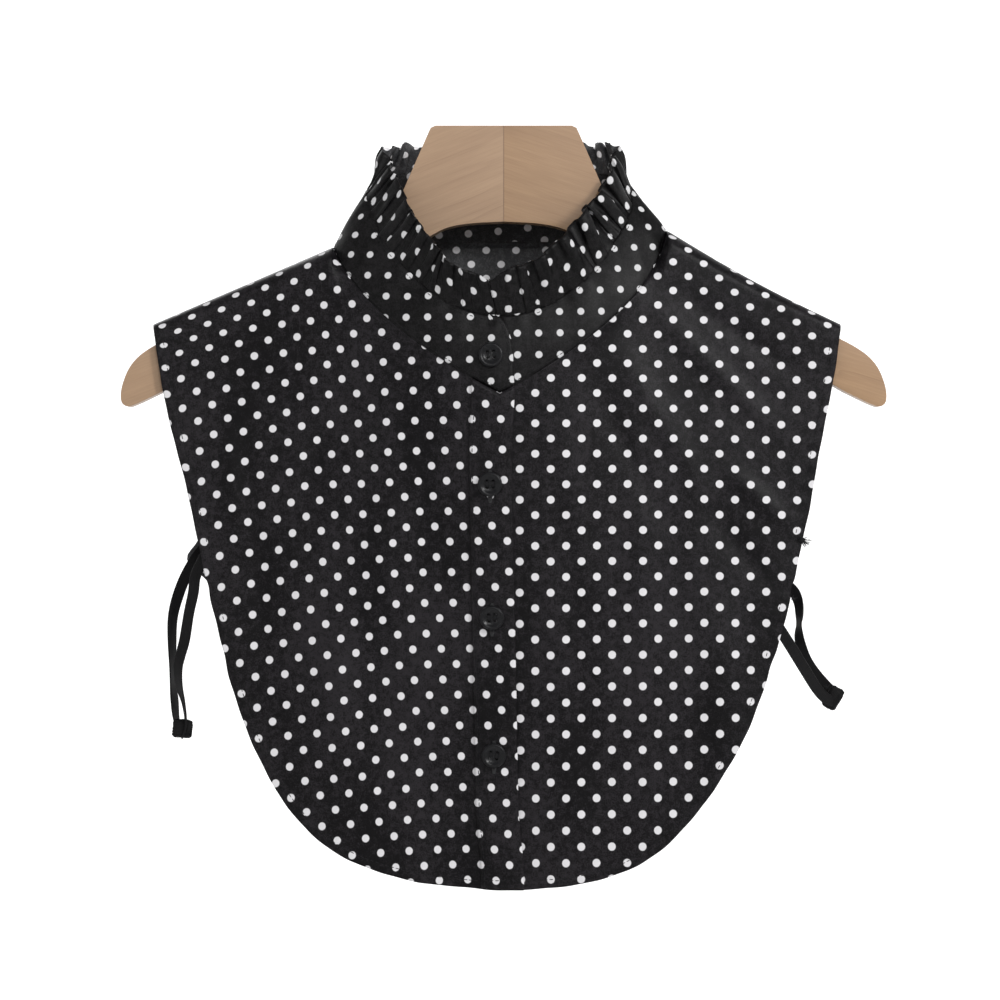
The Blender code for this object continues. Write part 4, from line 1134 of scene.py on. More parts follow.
def wood_material(name, slant, waviness, tone):
    """Pale sanded beech under a thin lacquer, its growth rings slanting up to the glue line."""
    made, tree, shader = nodes_of(name)
    pale, darker, late_wood, fibre, glue_line = (
        tuple(share * part for share, part in zip(tone, colour))
        for colour in (
            (0.480, 0.325, 0.205),
            (0.385, 0.250, 0.155),
            (0.235, 0.140, 0.080),
            (0.290, 0.182, 0.110),
            (0.150, 0.085, 0.050),
        )
    )
    place = tree.nodes.new("ShaderNodeTexCoord").outputs["Object"]
    turned = tree.nodes.new("ShaderNodeMapping")
    turned.inputs["Rotation"].default_value = (0.0, slant, 0.0)
    tree.links.new(place, turned.inputs["Vector"])
    grain = turned.outputs[0]
    parts = tree.nodes.new("ShaderNodeSeparateXYZ")
    tree.links.new(grain, parts.inputs[0])
    warp = noise(tree, vector_maths(tree, "MULTIPLY", grain, (9.0, 14.0, 22.0)), 1.0, 2.0)
    spread = noise(tree, vector_maths(tree, "MULTIPLY", grain, (2.5, 8.0, 120.0)), 1.0, 2.0)
    bent = maths(tree, "MULTIPLY_ADD", warp, waviness, maths(tree, "DIVIDE", parts.outputs["Z"], RING_PITCH))
    rings = maths(tree, "MULTIPLY_ADD", spread, 2.4, bent)
    late = maths(tree, "POWER", maths(tree, "FRACT", rings), 4.0)
    fade = noise(tree, vector_maths(tree, "MULTIPLY", grain, (9.0, 40.0, 110.0)), 1.0, 3.0)
    faded = maths(tree, "MULTIPLY", late, maths(tree, "MULTIPLY_ADD", fade, 3.0, -1.20, clamp=True))
    fibres = noise(tree, vector_maths(tree, "MULTIPLY", grain, (45.0, 700.0, 1300.0)), 1.0, 3.0, 0.6)
    broad = noise(tree, vector_maths(tree, "MULTIPLY", grain, (14.0, 60.0, 90.0)), 1.0, 4.0, 0.6)
    base = mixed(tree, maths(tree, "MULTIPLY_ADD", broad, 2.2, -0.6, clamp=True), pale, darker)
    ringed = mixed(tree, maths(tree, "MULTIPLY", faded, 0.60), base, late_wood)
    fine = mixed(tree, maths(tree, "MULTIPLY_ADD", fibres, 0.90, -0.22, clamp=True), ringed, fibre)
    across = tree.nodes.new("ShaderNodeSeparateXYZ")
    tree.links.new(place, across.inputs[0])
    from_glue = maths(tree, "ABSOLUTE", across.outputs["X"])
    glue = maths(tree, "SUBTRACT", 1.0, maths(tree, "DIVIDE", from_glue, GLUE_LINE_WIDTH), clamp=True)
    lined = mixed(tree, maths(tree, "MULTIPLY", glue, 0.65), fine, glue_line)
    tree.links.new(lined, shader.inputs["Base Color"])
    tree.links.new(maths(tree, "MULTIPLY_ADD", fibres, 0.15, 0.40), shader.inputs["Roughness"])
    shader.inputs["Coat Weight"].default_value = 0.15
    shader.inputs["Coat Roughness"].default_value = 0.32
    tree.links.new(bump(tree, fibres, 0.20, 0.0002), shader.inputs["Normal"])
    return made


def stage_material():
    """Pale paper for the floor and backdrop, with a painted glow: dim in front of the hanger, bright behind it, and
    lighting the cloth too.
    """
    made, tree, shader = nodes_of("glowing_pale_paper")
    place = tree.nodes.new("ShaderNodeTexCoord").outputs["Object"]
    cloud = noise(tree, place, 1.5, 2.0)
    tree.links.new(mixed(tree, cloud, (0.49, 0.49, 0.49), (0.51, 0.51, 0.51)), shader.inputs["Base Color"])
    shader.inputs["Roughness"].default_value = 0.9
    parts = tree.nodes.new("ShaderNodeSeparateXYZ")
    tree.links.new(place, parts.inputs[0])
    # Painted glow: the paper emits light, dim in front of the hanger and bright behind it
    glow = tree.nodes.new("ShaderNodeMapRange")
    glow.interpolation_type = "SMOOTHSTEP"
    glow.inputs["From Min"].default_value = -1.6
    glow.inputs["From Max"].default_value = 1.6
    glow.inputs["To Min"].default_value = GLOW_IN_FRONT
    glow.inputs["To Max"].default_value = GLOW_BEHIND
    tree.links.new(parts.outputs["Y"], glow.inputs["Value"])
    shader.inputs["Emission Color"].default_value = (1.0, 1.0, 1.0, 1.0)
    tree.links.new(glow.outputs[0], shader.inputs["Emission Strength"])
    return made


# Each dotted cotton: its black ground, the paler ground of its painted sheen streaks and mottling, and its white print
MATERIALS = {
    "cloth": dotted_cotton("dotted_cotton", (0.0023, 0.0020, 0.0025), (0.0176, 0.0156, 0.0180), (0.69, 0.68, 0.695)),
    # A darker copy of the cloth, its dots dimmer too, for the stand and ruffle: painted shade
    "stand_cloth": dotted_cotton(
        "dotted_cotton_stand_shaded",
        (0.0013, 0.0012, 0.0013),
        (0.0100, 0.0092, 0.0099),
        (0.61, 0.605, 0.615),
        STAND_DOT_RADIUS,
    ),
    # The inner faces: a paler ground and brighter dots than the outside, painted light
    "cloth_inside_lit": dotted_cotton("dotted_cotton_inside_lit", (0.030, 0.030, 0.032), (0.070, 0.070, 0.074), (0.88, 0.87, 0.89)),
    "thread": thread_material("black_thread", (0.005, 0.005, 0.006), (0.014, 0.014, 0.015)),
    # A paler grey thread for the buttonholes' stitches
    "pale_thread": thread_material("pale_thread", (0.014, 0.014, 0.015), (0.050, 0.050, 0.052)),
    "button": button_material(),
    "tape": tape_material(),
    "wood_right": wood_material("beech_right", math.radians(22), 2.2, (0.88, 0.86, 0.83)),
    "wood_left": wood_material("beech_left", math.radians(-18), 4.2, (0.785, 0.715, 0.60)),
}


def add_camera():
    camera = bpy.data.cameras.new("camera")
    camera.sensor_width = SENSOR
    camera.lens = SENSOR * CAMERA_AWAY / FRAME_WIDTH
    camera.clip_start = 0.05
    camera.clip_end = 30.0
    holder = bpy.data.objects.new("camera", camera)
    holder.location = (CAMERA_X, -CAMERA_AWAY, -CAMERA_DROP)
    holder.rotation_euler = (math.radians(90), 0.0, 0.0)
    bpy.context.scene.collection.objects.link(holder)
    bpy.context.scene.camera = holder


def add_stage():
    """A pale bowl: a level floor that curves up into a wall all round."""
    profile = [(0.0, 0.0)]
    for step in range(17):
        turn = math.radians(90.0) * step / 16
        x = BOWL_RADIUS - BOWL_CORNER + BOWL_CORNER * math.sin(turn)
        profile.append((x, BOWL_CORNER * (1.0 - math.cos(turn))))
    profile.append((BOWL_RADIUS, BOWL_HEIGHT))
    mesh = bpy.data.meshes.new("stage_bowl")
    points = [(x, 0.0, z) for x, z in profile]
    mesh.from_pydata(points, [(i, i + 1) for i in range(len(points) - 1)], [])
    bowl = bpy.data.objects.new("stage_bowl", mesh)
    bowl.location = (0.0, 0.0, -FLOOR_DROP)
    bpy.context.scene.collection.objects.link(bowl)
    turning = bowl.modifiers.new("turning", "SCREW")
    turning.steps = 96
    turning.render_steps = 96
    turning.use_merge_vertices = True
    turning.merge_threshold = MERGE_DISTANCE
    turning.use_normal_flip = True
    turning.use_smooth_shade = True
    mesh.materials.append(stage_material())


def add_light(name, place, aim, size, power, colour=(1.0, 1.0, 1.0)):
    lamp = bpy.data.lights.new(name, "AREA")
    lamp.shape = "DISK"
    lamp.size = size
    lamp.energy = power
    lamp.color = colour
    holder = bpy.data.objects.new(name, lamp)
    holder.location = place
    holder.rotation_euler = (Vector(aim) - Vector(place)).to_track_quat("-Z", "Y").to_euler()
    bpy.context.scene.collection.objects.link(holder)


def add_lights():
    """A soft key from the upper right, a fill from the left and one light behind for the other views."""
    world = bpy.data.worlds.new("soft_room")
    world.use_nodes = True
    background = world.node_tree.nodes["Background"]
    background.inputs["Color"].default_value = (1.0, 1.0, 1.0, 1.0)
    background.inputs["Strength"].default_value = 0.38
    bpy.context.scene.world = world
    middle = (0.0, 0.0, -0.2)
    add_light("key", (1.30, -1.40, 0.70), middle, 0.5, 22.0)
    add_light("front", (0.35, -2.10, 0.65), middle, 0.5, 10.0)
    add_light("fill", (-1.6, -1.4, 0.1), middle, 1.4, 1.0)
    add_light("back", (-0.6, 1.7, 0.8), middle, 1.2, 9.0)
    bpy.context.scene.view_settings.view_transform = "Standard"
    bpy.context.scene.view_settings.look = "None"


def add_panels():
    """The two fronts and the back, each a shell with its folds, creases and hems."""
    for name, side, upper, lattice in (
        ("front_right_cloth", 1.0, True, right_lattice),
        ("front_left_cloth", -1.0, False, left_lattice),
    ):
        grid = front_grid(side, upper)
        points = front_point(grid[..., 0], grid[..., 1], upper)
        points[..., [0, 2]] += (wavered(grid, FRONT_PULLS) - grid) * np.array([1.0, -1.0])
        uv = turned_lattice(grid, points, lattice)
        on_neck = np.abs(grid[0, :, 0] - NECK_X) < BASE_HALF_WIDTH + SIDE_SEAM_OUT + 0.0001
        points, uv = with_allowance(points, uv, on_neck, -1.0)
        piece = cloth_piece(name, points, uv, side < 0, WALL, name[: -len("_cloth")])
    grid = back_grid()
    points = back_point(grid[..., 0], grid[..., 1])
    points[..., [0, 2]] += (wavered(grid, BACK_PULLS) - grid) * np.array([1.0, -1.0])
    uv = turned_lattice(grid, points, back_lattice)
    on_neck = np.abs(grid[0, :, 0] - NECK_X) < BASE_HALF_WIDTH + SIDE_SEAM_OUT + 0.0001
    points, uv = with_allowance(points, uv, on_neck, 1.0)
    piece = cloth_piece("back_cloth", points, uv, False, WALL, "back")


def placket_point(x, drop, proud=0.0):
    off = panel_off(x, drop, True, front_lift(x, drop, True)) + PLACKET_STEP + proud
    return np.stack(np.broadcast_arrays(x, -off, -drop), axis=-1)


def placket_grid():
    """The placket band's grid of (x, drop), from the stand down to the hem."""
    across = np.linspace(-0.5, 0.5, PLACKET_COLUMNS + 1) * PLACKET_WIDTH
    x_top = PLACKET_TOP_X + across
    angle = np.degrees(np.arcsin((NECK_X - x_top) / BASE_HALF_WIDTH))
    drop_top = base_drop(angle) + NECK_SEAM_DOWN
    count = int(round((HEM_DROP - BASE_FRONT_DROP) / PLACKET_ROW_PITCH))
    down = np.linspace(0.0, 1.0, count + 1)[:, None]
    drop = drop_top + (HEM_DROP - PLACKET_HEM_INSET - drop_top) * down
    x = x_top + (PLACKET_BOTTOM_X + across - x_top) * down - placket_bow(drop)
    return np.stack([x, drop], axis=-1)


def add_placket():
    grid = placket_grid()
    x = grid[..., 0]
    drop = grid[..., 1]
    edge = 0.5 * PLACKET_WIDTH - np.abs(x - placket_middle(drop))
    pressed = -0.00035 * np.exp(-((edge / 0.0008) ** 2))
    seam = -0.00020 * np.exp(-(((edge - PLACKET_STITCH_IN) / 0.0005) ** 2))
    points = placket_point(x, drop, pressed + seam)
    uv = np.stack(right_lattice(x, drop), axis=-1)
    piece = cloth_piece("placket_cloth", points, uv, True, PLACKET_WALL, "placket")


def stand_angles():
    count = int(round((UNDER_END - UPPER_END) / STAND_STEP))
    return np.linspace(UPPER_END, UNDER_END, count + 1)


def level_in_cloth(way, rise):
    """The direction of the lattice along the stand where the level line across it lies on the bias."""
    level = np.array([rise[2], -way[2]])
    if level[0] * way[0] + level[1] * rise[0] < 0.0:
        level = -level
    return STAND_BIAS - math.atan2(-level[1], level[0])


def stand_lattice(angles, points):
    """The stand's strip laid flat, with its dots on the bias at both sides of the front."""
    middle = points[len(points) // 2]
    way = unit(np.gradient(middle, axis=0))
    rise = points[-1] - points[0]
    rise = unit(rise - way * np.sum(rise * way, axis=1)[:, None])
    turning = np.cumsum(np.sum(np.gradient(way, axis=0) * rise, axis=1))
    along = length_along(middle)
    starts, ends = np.interp(STAND_EASED, angles, along)
    share = np.clip((along - starts) / (ends - starts), 0.0, 1.0)
    places = []
    for x, drop in STAND_DOTS:
        far = np.hypot(points[..., 0] - x, points[..., 2] + drop) + (points[..., 1] > 0.0)
        places.append(np.unravel_index(int(np.argmin(far)), far.shape))
    wanted = [level_in_cloth(way[column], rise[column]) for _, column in places]
    first, last = (column for _, column in places)
    found = wanted[0] - (turning[last] - turning[first])
    quarter = 0.5 * math.pi
    short = (found - wanted[1] + 0.5 * quarter) % quarter - 0.5 * quarter
    heading = wanted[0] - (turning - turning[first]) - short * (share - share[first])
    step = np.gradient(along)[:, None]
    ahead = np.stack([np.cos(heading), np.sin(heading)], axis=1)
    upward = np.stack([np.sin(heading), -np.cos(heading)], axis=1)
    centre = np.cumsum(ahead * step, axis=0)
    offset = points - middle
    forward = np.sum(offset * way, axis=-1)[..., None]
    above = np.sum(offset * rise, axis=-1)[..., None]
    cells = (centre + forward * ahead + above * upward) / STAND_PITCH
    cells = cells - cells[places[0]]
    miss = cells[places[1]]
    strays = [miss - shift - np.round(miss - shift) for shift in (0.0, 0.5)]
    stray = min(strays, key=np.linalg.norm)
    return cells - share[:, None] * stray


def add_stand():
    angles = stand_angles()
    heights = np.linspace(0.0, 1.0, STAND_ROWS + 1)
    turned = drawn_back(angles[None, :], heights[:, None])
    points = stand_point(turned, heights[:, None])
    uv = stand_lattice(angles, points)
    piece = cloth_piece("stand_cloth", points, uv, True, STAND_WALL, "stand", "stand_cloth")


def ruffle_frames():
    """Along the stand's upper edge: place, way along, up the ruffle by its height, way out, and the angle."""
    first = float(drawn_back(np.array(UPPER_END), np.array(1.0)))
    last = float(drawn_back(np.array(UNDER_END), np.array(1.0)))
    angles = np.linspace(first, last, RUFFLE_SAMPLES)
    here = stand_point(angles, np.ones(1))
    along = unit(np.gradient(here, axis=0))
    lean = np.array(RUFFLE_LEAN).T
    up = unit(np.stack([np.interp(angles, lean[0], part) for part in lean[2:]], axis=1))
    out = unit(np.cross(up, along))
    outward = here - np.array([NECK_X, 0.0, 0.0])
    outward[:, 2] = 0.0
    out *= np.sign(np.sum(out * outward, axis=1))[:, None]
    return here, along, up * np.interp(angles, lean[0], lean[1])[:, None], out, angles


def fold_wave(swing, pressed, lopsided, gather, phase, steps):
    """One fold as a winding line: shares along and out of a unit of cloth length."""
    share = ((np.arange(steps) + 0.5) / steps) ** lopsided
    beat = np.sin(2.0 * math.pi * share)
    turns = swing * beat * (1.0 - pressed + pressed * beat * beat) + gather * np.sin(6.0 * math.pi * share + phase)
    x = np.concatenate(([0.0], np.cumsum(np.cos(turns)))) / steps
    y = np.concatenate(([0.0], np.cumsum(np.sin(turns)))) / steps
    return x, y - np.linspace(0.0, y[-1], steps + 1)


def ruffle_grid():
    """The ruffle's points and its lattice: rows from the seam up, uneven folds that wind along the seam."""
    here, along, up, out, angles = ruffle_frames()
    line = length_along(here)
    dice = random.Random(11)
    table = np.array(RUFFLE_FOLDS).T
    guess = np.linspace(angles[0], angles[-1], RUFFLE_WAVES)
    sizes = np.interp(guess, table[0], table[5]) * np.array([dice.uniform(0.35, 1.65) for _ in range(RUFFLE_WAVES)])
    starts = np.concatenate(([0.0], np.cumsum(sizes)))
    starts = starts / starts[-1] * line[-1]
    rows = np.linspace(0.0, 1.0, RUFFLE_ROWS + 1)
    columns = RUFFLE_WAVES * RUFFLE_STEPS + 1
    places = np.zeros((len(rows), columns))
    swings = np.zeros((len(rows), columns))
    for wave in range(RUFFLE_WAVES):
        chord = starts[wave + 1] - starts[wave]
        angle = np.interp(0.5 * (starts[wave] + starts[wave + 1]), line, angles)
        at_seam, at_edge, depth, pressed = (float(np.interp(angle, table[0], part)) for part in table[1:5])
        livelier = dice.uniform(0.80, 1.08)
        lopsided = dice.uniform(0.72, 1.40)
        phase = dice.uniform(0.0, 2.0 * math.pi)
        part = slice(wave * RUFFLE_STEPS, (wave + 1) * RUFFLE_STEPS + 1)
        for i, row in enumerate(rows):
            swing = (at_seam + (at_edge - at_seam) * row ** 0.7) * livelier
            x, y = fold_wave(swing, pressed, lopsided, GATHER_SWING * (1.0 - row) ** 1.5, phase, RUFFLE_STEPS)
            stays = 0.10 + (depth - 0.10) * smooth_step(0.0, 0.8, row)
            places[i, part] = starts[wave] + chord * x / x[-1]
            swings[i, part] = chord * y / x[-1] * stays
    strays = np.array([dice.uniform(-RUFFLE_SKEW, RUFFLE_SKEW) for _ in range(RUFFLE_WAVES + 1)])
    strays = np.interp(np.arange(columns) / RUFFLE_STEPS, np.arange(RUFFLE_WAVES + 1), strays)
    places = np.clip(places + strays * (line[-1] / RUFFLE_WAVES) * rows[:, None] ** 1.3, 0.0, line[-1])
    leans = np.array([dice.uniform(-0.0012, 0.0014) for _ in range(RUFFLE_WAVES + 1)])
    leans = np.interp(np.arange(columns) / RUFFLE_STEPS, np.arange(RUFFLE_WAVES + 1), leans)
    swings = swings + leans * rows[:, None] ** 2
    ends = np.exp(-((places / RUFFLE_END_SPAN) ** 2)) + np.exp(-(((line[-1] - places) / RUFFLE_END_SPAN) ** 2))
    taller = np.array([dice.uniform(-RUFFLE_UNEVEN, RUFFLE_UNEVEN) for _ in range(RUFFLE_WAVES + 1)])
    taller = np.interp(np.arange(columns) / RUFFLE_STEPS, np.arange(RUFFLE_WAVES + 1), taller)
    reach = rows[:, None] * (1.0 - RUFFLE_END_FALL * ends) * (1.0 + taller * rows[:, None])
    frames = [np.stack([np.interp(places, line, way[:, k]) for k in range(3)], axis=-1) for way in (here, up, out)]
    points = frames[0] + frames[1] * reach[..., None] + frames[2] * swings[..., None]
    below = points[0] - unit(frames[1][0]) * RUFFLE_SEAM_DEPTH
    cloth = length_along(points[len(rows) // 2])
    high = np.linalg.norm(frames[1][0], axis=-1) * reach
    lattice = np.stack([np.broadcast_to(cloth, high.shape), high], axis=-1)
    low_rows = lattice[:1] - np.array([0.0, RUFFLE_SEAM_DEPTH])
    return np.concatenate((below[None], points)), np.concatenate((low_rows, lattice)) / DOT_PITCH + RUFFLE_DOT_SHIFT


def add_ruffle():
    points, uv = ruffle_grid()
    piece = cloth_piece("ruffle_cloth", points, uv, True, RUFFLE_WALL, "ruffle", "stand_cloth")


def stitch_row(name, path, outward, pitch=STITCH_PITCH, length=STITCH_LENGTH, across=False, look="thread"):
    """A row of stitches along or across a path, each a short thread that dips into the cloth at both ends."""
    radius = STITCH_RADIUS
    count = max(1, int(length_along(path)[-1] / pitch))
    shares = (np.arange(count) + 0.5) / count
    total = length_along(path)[-1]
    middle = at_shares(path, shares)
    ahead = at_shares(path, np.clip(shares + 0.3 * pitch / total, 0.0, 1.0))
    behind = at_shares(path, np.clip(shares - 0.3 * pitch / total, 0.0, 1.0))
    along = ahead - behind
    along /= np.linalg.norm(along, axis=1)[:, None]
    normal = at_shares(outward, shares)
    normal -= along * np.sum(normal * along, axis=1)[:, None]
    normal /= np.linalg.norm(normal, axis=1)[:, None]
    side = np.cross(along, normal)
    if across:
        along, side = side, -along
    turns = 2.0 * math.pi * np.arange(STITCH_SIDES) / STITCH_SIDES
    rings = len(STITCH_SHAPE)
    verts = np.zeros((count, rings, STITCH_SIDES, 3))
    for r, (place, high, thick) in enumerate(STITCH_SHAPE):
        centre = middle + along * (place * length) + normal * (high * radius)
        for k, turn in enumerate(turns):
            ring = side * math.cos(turn) + normal * math.sin(turn)
            verts[:, r, k] = centre + ring * (radius * thick)
    faces = []
    for stitch in range(count):
        start = stitch * rings * STITCH_SIDES
        for r in range(rings - 1):
            for k in range(STITCH_SIDES):
                after = (k + 1) % STITCH_SIDES
                low = start + r * STITCH_SIDES
                high = low + STITCH_SIDES
                faces.append((low + k, low + after, high + after, high + k))
        faces.append(tuple(start + k for k in reversed(range(STITCH_SIDES))))
        faces.append(tuple(start + (rings - 1) * STITCH_SIDES + k for k in range(STITCH_SIDES)))
    mesh = bpy.data.meshes.new(name)
    mesh.from_pydata(verts.reshape(-1, 3).tolist(), [], faces)
    mesh.update()
    mesh.shade_smooth()
    return add_piece(name, mesh, (MATERIALS[look],))


def surface_row(name, x, drop, surface, lift):
    """Stitches on a surface given by a function of x and drop."""
    path = surface(x, drop, lift)
    reach = 0.001
    across = surface(x + reach, drop, lift) - surface(x - reach, drop, lift)
    upward = surface(x, drop - reach, lift) - surface(x, drop + reach, lift)
    outward = np.cross(across, upward)
    outward *= np.sign(-outward[:, 1:2] * np.sign(-path[:, 1:2]))
    stitch_row(name, path, outward)


def inset_line(first, last, inset):
    """The outline between two of its points, moved inside by a distance."""
    line = even_points(OUTLINE_POINTS[first : last + 1], 0.002)
    way = np.gradient(line, axis=0)
    way /= np.linalg.norm(way, axis=1)[:, None]
    inward = np.stack([way[:, 1], -way[:, 0]], axis=1)
    inward *= np.sign(np.sum(inward * (np.array(PANEL_MIDDLE) - line), axis=1))[:, None]
    return line + inward * inset


def add_hem_stitches():
    """One row of stitches inside each panel's armhole and hem edge."""
    end = len(OUTLINE_POINTS) - 1
    whole = inset_line(0, end, HEM_STITCH_IN)
    whole = whole[5:-5]
    half = 0.5 * WALL
    edge_right = whole[whole[:, 0] < placket_middle(HEM_DROP) - 0.5 * PLACKET_WIDTH - 0.001]
    edge_left = whole[whole[:, 0] > placket_middle(HEM_DROP) + 0.5 * PLACKET_WIDTH + 0.001]
    surface_row("hem_stitches_right", edge_right[:, 0], edge_right[:, 1], lambda x, d, p: front_point(x, d, True, p), half)
    surface_row("hem_stitches_left", edge_left[:, 0], edge_left[:, 1], lambda x, d, p: front_point(x, d, False, p), half)
    surface_row("hem_stitches_back", whole[:, 0], whole[:, 1], back_point, half)


def add_placket_stitches():
    """The placket's row of stitches down its inner edge, and one along its hem."""
    drop = np.linspace(BASE_FRONT_DROP + 0.006, HEM_DROP - 0.002, 120)
    x = placket_middle(drop) - 0.5 * PLACKET_WIDTH + PLACKET_STITCH_IN
    surface_row("placket_stitches", x, drop, placket_point, 0.5 * PLACKET_WALL)
    across = np.linspace(-0.5, 0.5, 20) * (PLACKET_WIDTH - 0.002)
    x = placket_middle(HEM_DROP) + across
    drop = np.full(20, HEM_DROP - PLACKET_HEM_INSET - HEM_STITCH_IN)
    surface_row("placket_hem_stitches", x, drop, placket_point, 0.5 * PLACKET_WALL)


def add_stand_stitches():
    """Edge stitching on the stand: above the neck seam, below the ruffle and round its upper end."""
    angles = np.linspace(UPPER_END + 1.6, UNDER_END - 14.0, 500)
    for name, height in (("stand_stitches_low", 0.055), ("stand_stitches_high", 0.93)):
        turned = drawn_back(angles, np.full(len(angles), height))
        high = np.full(len(angles), height)
        path = stand_point(turned, high, 0.5 * STAND_WALL)
        outward = path - stand_point(turned, high, -0.5 * STAND_WALL)
        stitch_row(name, path, outward)
    heights = np.linspace(0.055, 0.93, 40)
    turned = drawn_back(np.full(40, UPPER_END), heights) + 1.6
    path = stand_point(turned, heights, 0.5 * STAND_WALL)
    outward = path - stand_point(turned, heights, -0.5 * STAND_WALL)
    stitch_row("stand_stitches_end", path, outward)


def placing(origin, across, upward, seat):
    """A placing matrix whose Z looks outward from a surface point, a distance above it."""
    x_way = Vector(across).normalized()
    z_way = x_way.cross(Vector(upward).normalized()).normalized()
    y_way = z_way.cross(x_way)
    turn = Matrix((x_way, y_way, z_way)).transposed().to_4x4()
    return Matrix.Translation(Vector(origin) + z_way * seat) @ turn


def button_holes():
    mesh = bpy.data.meshes.new("button_holes")
    shape = bmesh.new()
    half = 0.5 * BUTTON_HOLE_PITCH
    for x in (-half, half):
        for y in (-half, half):
            bmesh.ops.create_cone(
                shape,
                cap_ends=True,
                segments=20,
                radius1=BUTTON_HOLE_RADIUS,
                radius2=BUTTON_HOLE_RADIUS,
                depth=0.010,
                matrix=Matrix.Translation((x, y, 0.0)),
            )
    shape.to_mesh(mesh)
    shape.free()
    return bpy.data.objects.new("button_holes", mesh)


def button_mesh():
    """A dished button with a round rim and four holes, its back on the XY plane."""
    mesh = bpy.data.meshes.new("button")
    mesh.from_pydata([(r, 0.0, h) for r, h in BUTTON_PROFILE], [(i, i + 1) for i in range(len(BUTTON_PROFILE) - 1)], [])
    blank = bpy.data.objects.new("button_blank", mesh)
    cutter = button_holes()
    for made in (blank, cutter):
        bpy.context.scene.collection.objects.link(made)
    turning = blank.modifiers.new("turning", "SCREW")
    turning.steps = 64
    turning.render_steps = 64
    turning.use_merge_vertices = True
    turning.merge_threshold = MERGE_DISTANCE
    turning.use_normal_calculate = True
    holes = blank.modifiers.new("holes", "BOOLEAN")
    holes.operation = "DIFFERENCE"
    holes.object = cutter
    softened = blank.modifiers.new("softened", "BEVEL")
    softened.width = 0.00012
    softened.segments = 2
    softened.limit_method = "ANGLE"
    softened.angle_limit = math.radians(50)
    bpy.context.view_layer.update()
    graph = bpy.context.evaluated_depsgraph_get()
    finished = bpy.data.meshes.new_from_object(blank.evaluated_get(graph))
    bpy.data.objects.remove(blank)
    bpy.data.objects.remove(cutter)
    finished.shade_smooth()
    finished.set_sharp_from_angle(angle=SHARP_ANGLE)
    return finished


def tube(name, points, radius, look, slot, sides=8):
    """A round thread along points, as a mesh."""
    curve = bpy.data.curves.new(name, "CURVE")
    curve.dimensions = "3D"
    curve.bevel_depth = radius
    curve.bevel_resolution = 2
    curve.use_fill_caps = True
    spline = curve.splines.new("POLY")
    spline.points.add(len(points) - 1)
    for point, place in zip(spline.points, points):
        point.co = (*place, 1.0)
    holder = bpy.data.objects.new(name, curve)
    bpy.context.scene.collection.objects.link(holder)
    bpy.context.view_layer.update()
    graph = bpy.context.evaluated_depsgraph_get()
    mesh = bpy.data.meshes.new_from_object(holder.evaluated_get(graph))
    bpy.data.objects.remove(holder)
    mesh.shade_smooth()
    return add_piece(name, mesh, (look,))


def button_threads(name, matrix):
    """Two bars of thread between the holes, each of three strands sunk in at both ends."""
    half = 0.5 * BUTTON_HOLE_PITCH
    line = []
    shape = bmesh.new()
    mesh = bpy.data.meshes.new(name)
    for x in (-half, half):
        for strand in (-0.00032, 0.0, 0.00032):
            places = [(x + strand, y * half, z) for y, z in ((-1.0, 0.0002), (-0.86, 0.0016), (-0.4, 0.00195), (0.4, 0.00195), (0.86, 0.0016), (1.0, 0.0002))]
            curve = through(places, 4)
            rings = []
            for k, point in enumerate(curve):
                way = Vector(curve[min(k + 1, len(curve) - 1)] - curve[max(k - 1, 0)]).normalized()
                side = Vector((1.0, 0.0, 0.0))
                normal = way.cross(side).normalized()
                ring = []
                for turn in range(6):
                    angle = 2.0 * math.pi * turn / 6
                    ring.append(shape.verts.new(Vector(point) + (side * math.cos(angle) + normal * math.sin(angle)) * 0.0002))
                rings.append(ring)
            for low, high in zip(rings, rings[1:]):
                for k in range(6):
                    shape.faces.new((low[k], low[(k + 1) % 6], high[(k + 1) % 6], high[k]))
            shape.faces.new(rings[0][::-1])
            shape.faces.new(rings[-1])
    bmesh.ops.recalc_face_normals(shape, faces=shape.faces[:])
    shape.to_mesh(mesh)
    shape.free()
    mesh.transform(matrix)
    mesh.shade_smooth()
    add_piece(name, mesh, (MATERIALS["thread"],))


def add_buttonholes():
    """A worked buttonhole under each placket button: close stitches round an upright slit."""
    turns = np.linspace(0.0, 2.0 * math.pi, 120)
    for number, (x, drop) in enumerate(PLACKET_BUTTONS, start=2):
        round_x = x + BUTTONHOLE_HALF_WIDTH * np.sin(turns)
        round_drop = drop + BUTTONHOLE_FALL - BUTTONHOLE_HALF_LENGTH * np.cos(turns)
        path = placket_point(round_x, round_drop, 0.5 * PLACKET_WALL)
        outward = path - placket_point(round_x, round_drop, 0.0)
        name = f"buttonhole_{number}_stitches"
        stitch_row(name, path, outward, BUTTONHOLE_PITCH, BUTTONHOLE_STITCH, True, "pale_thread")


def stand_surface(x, drop):
    """The outer end of the stand at a place on the front."""
    angle = math.degrees(math.asin((NECK_X - x) / BASE_HALF_WIDTH))
    height = float((base_drop(angle) - drop) / (base_drop(angle) - top_drop(angle)))
    return stand_point(np.array(angle), np.array(height), 0.5 * STAND_WALL)


def placket_face(x, drop):
    return placket_point(np.array(x), np.array(drop), 0.5 * PLACKET_WALL)


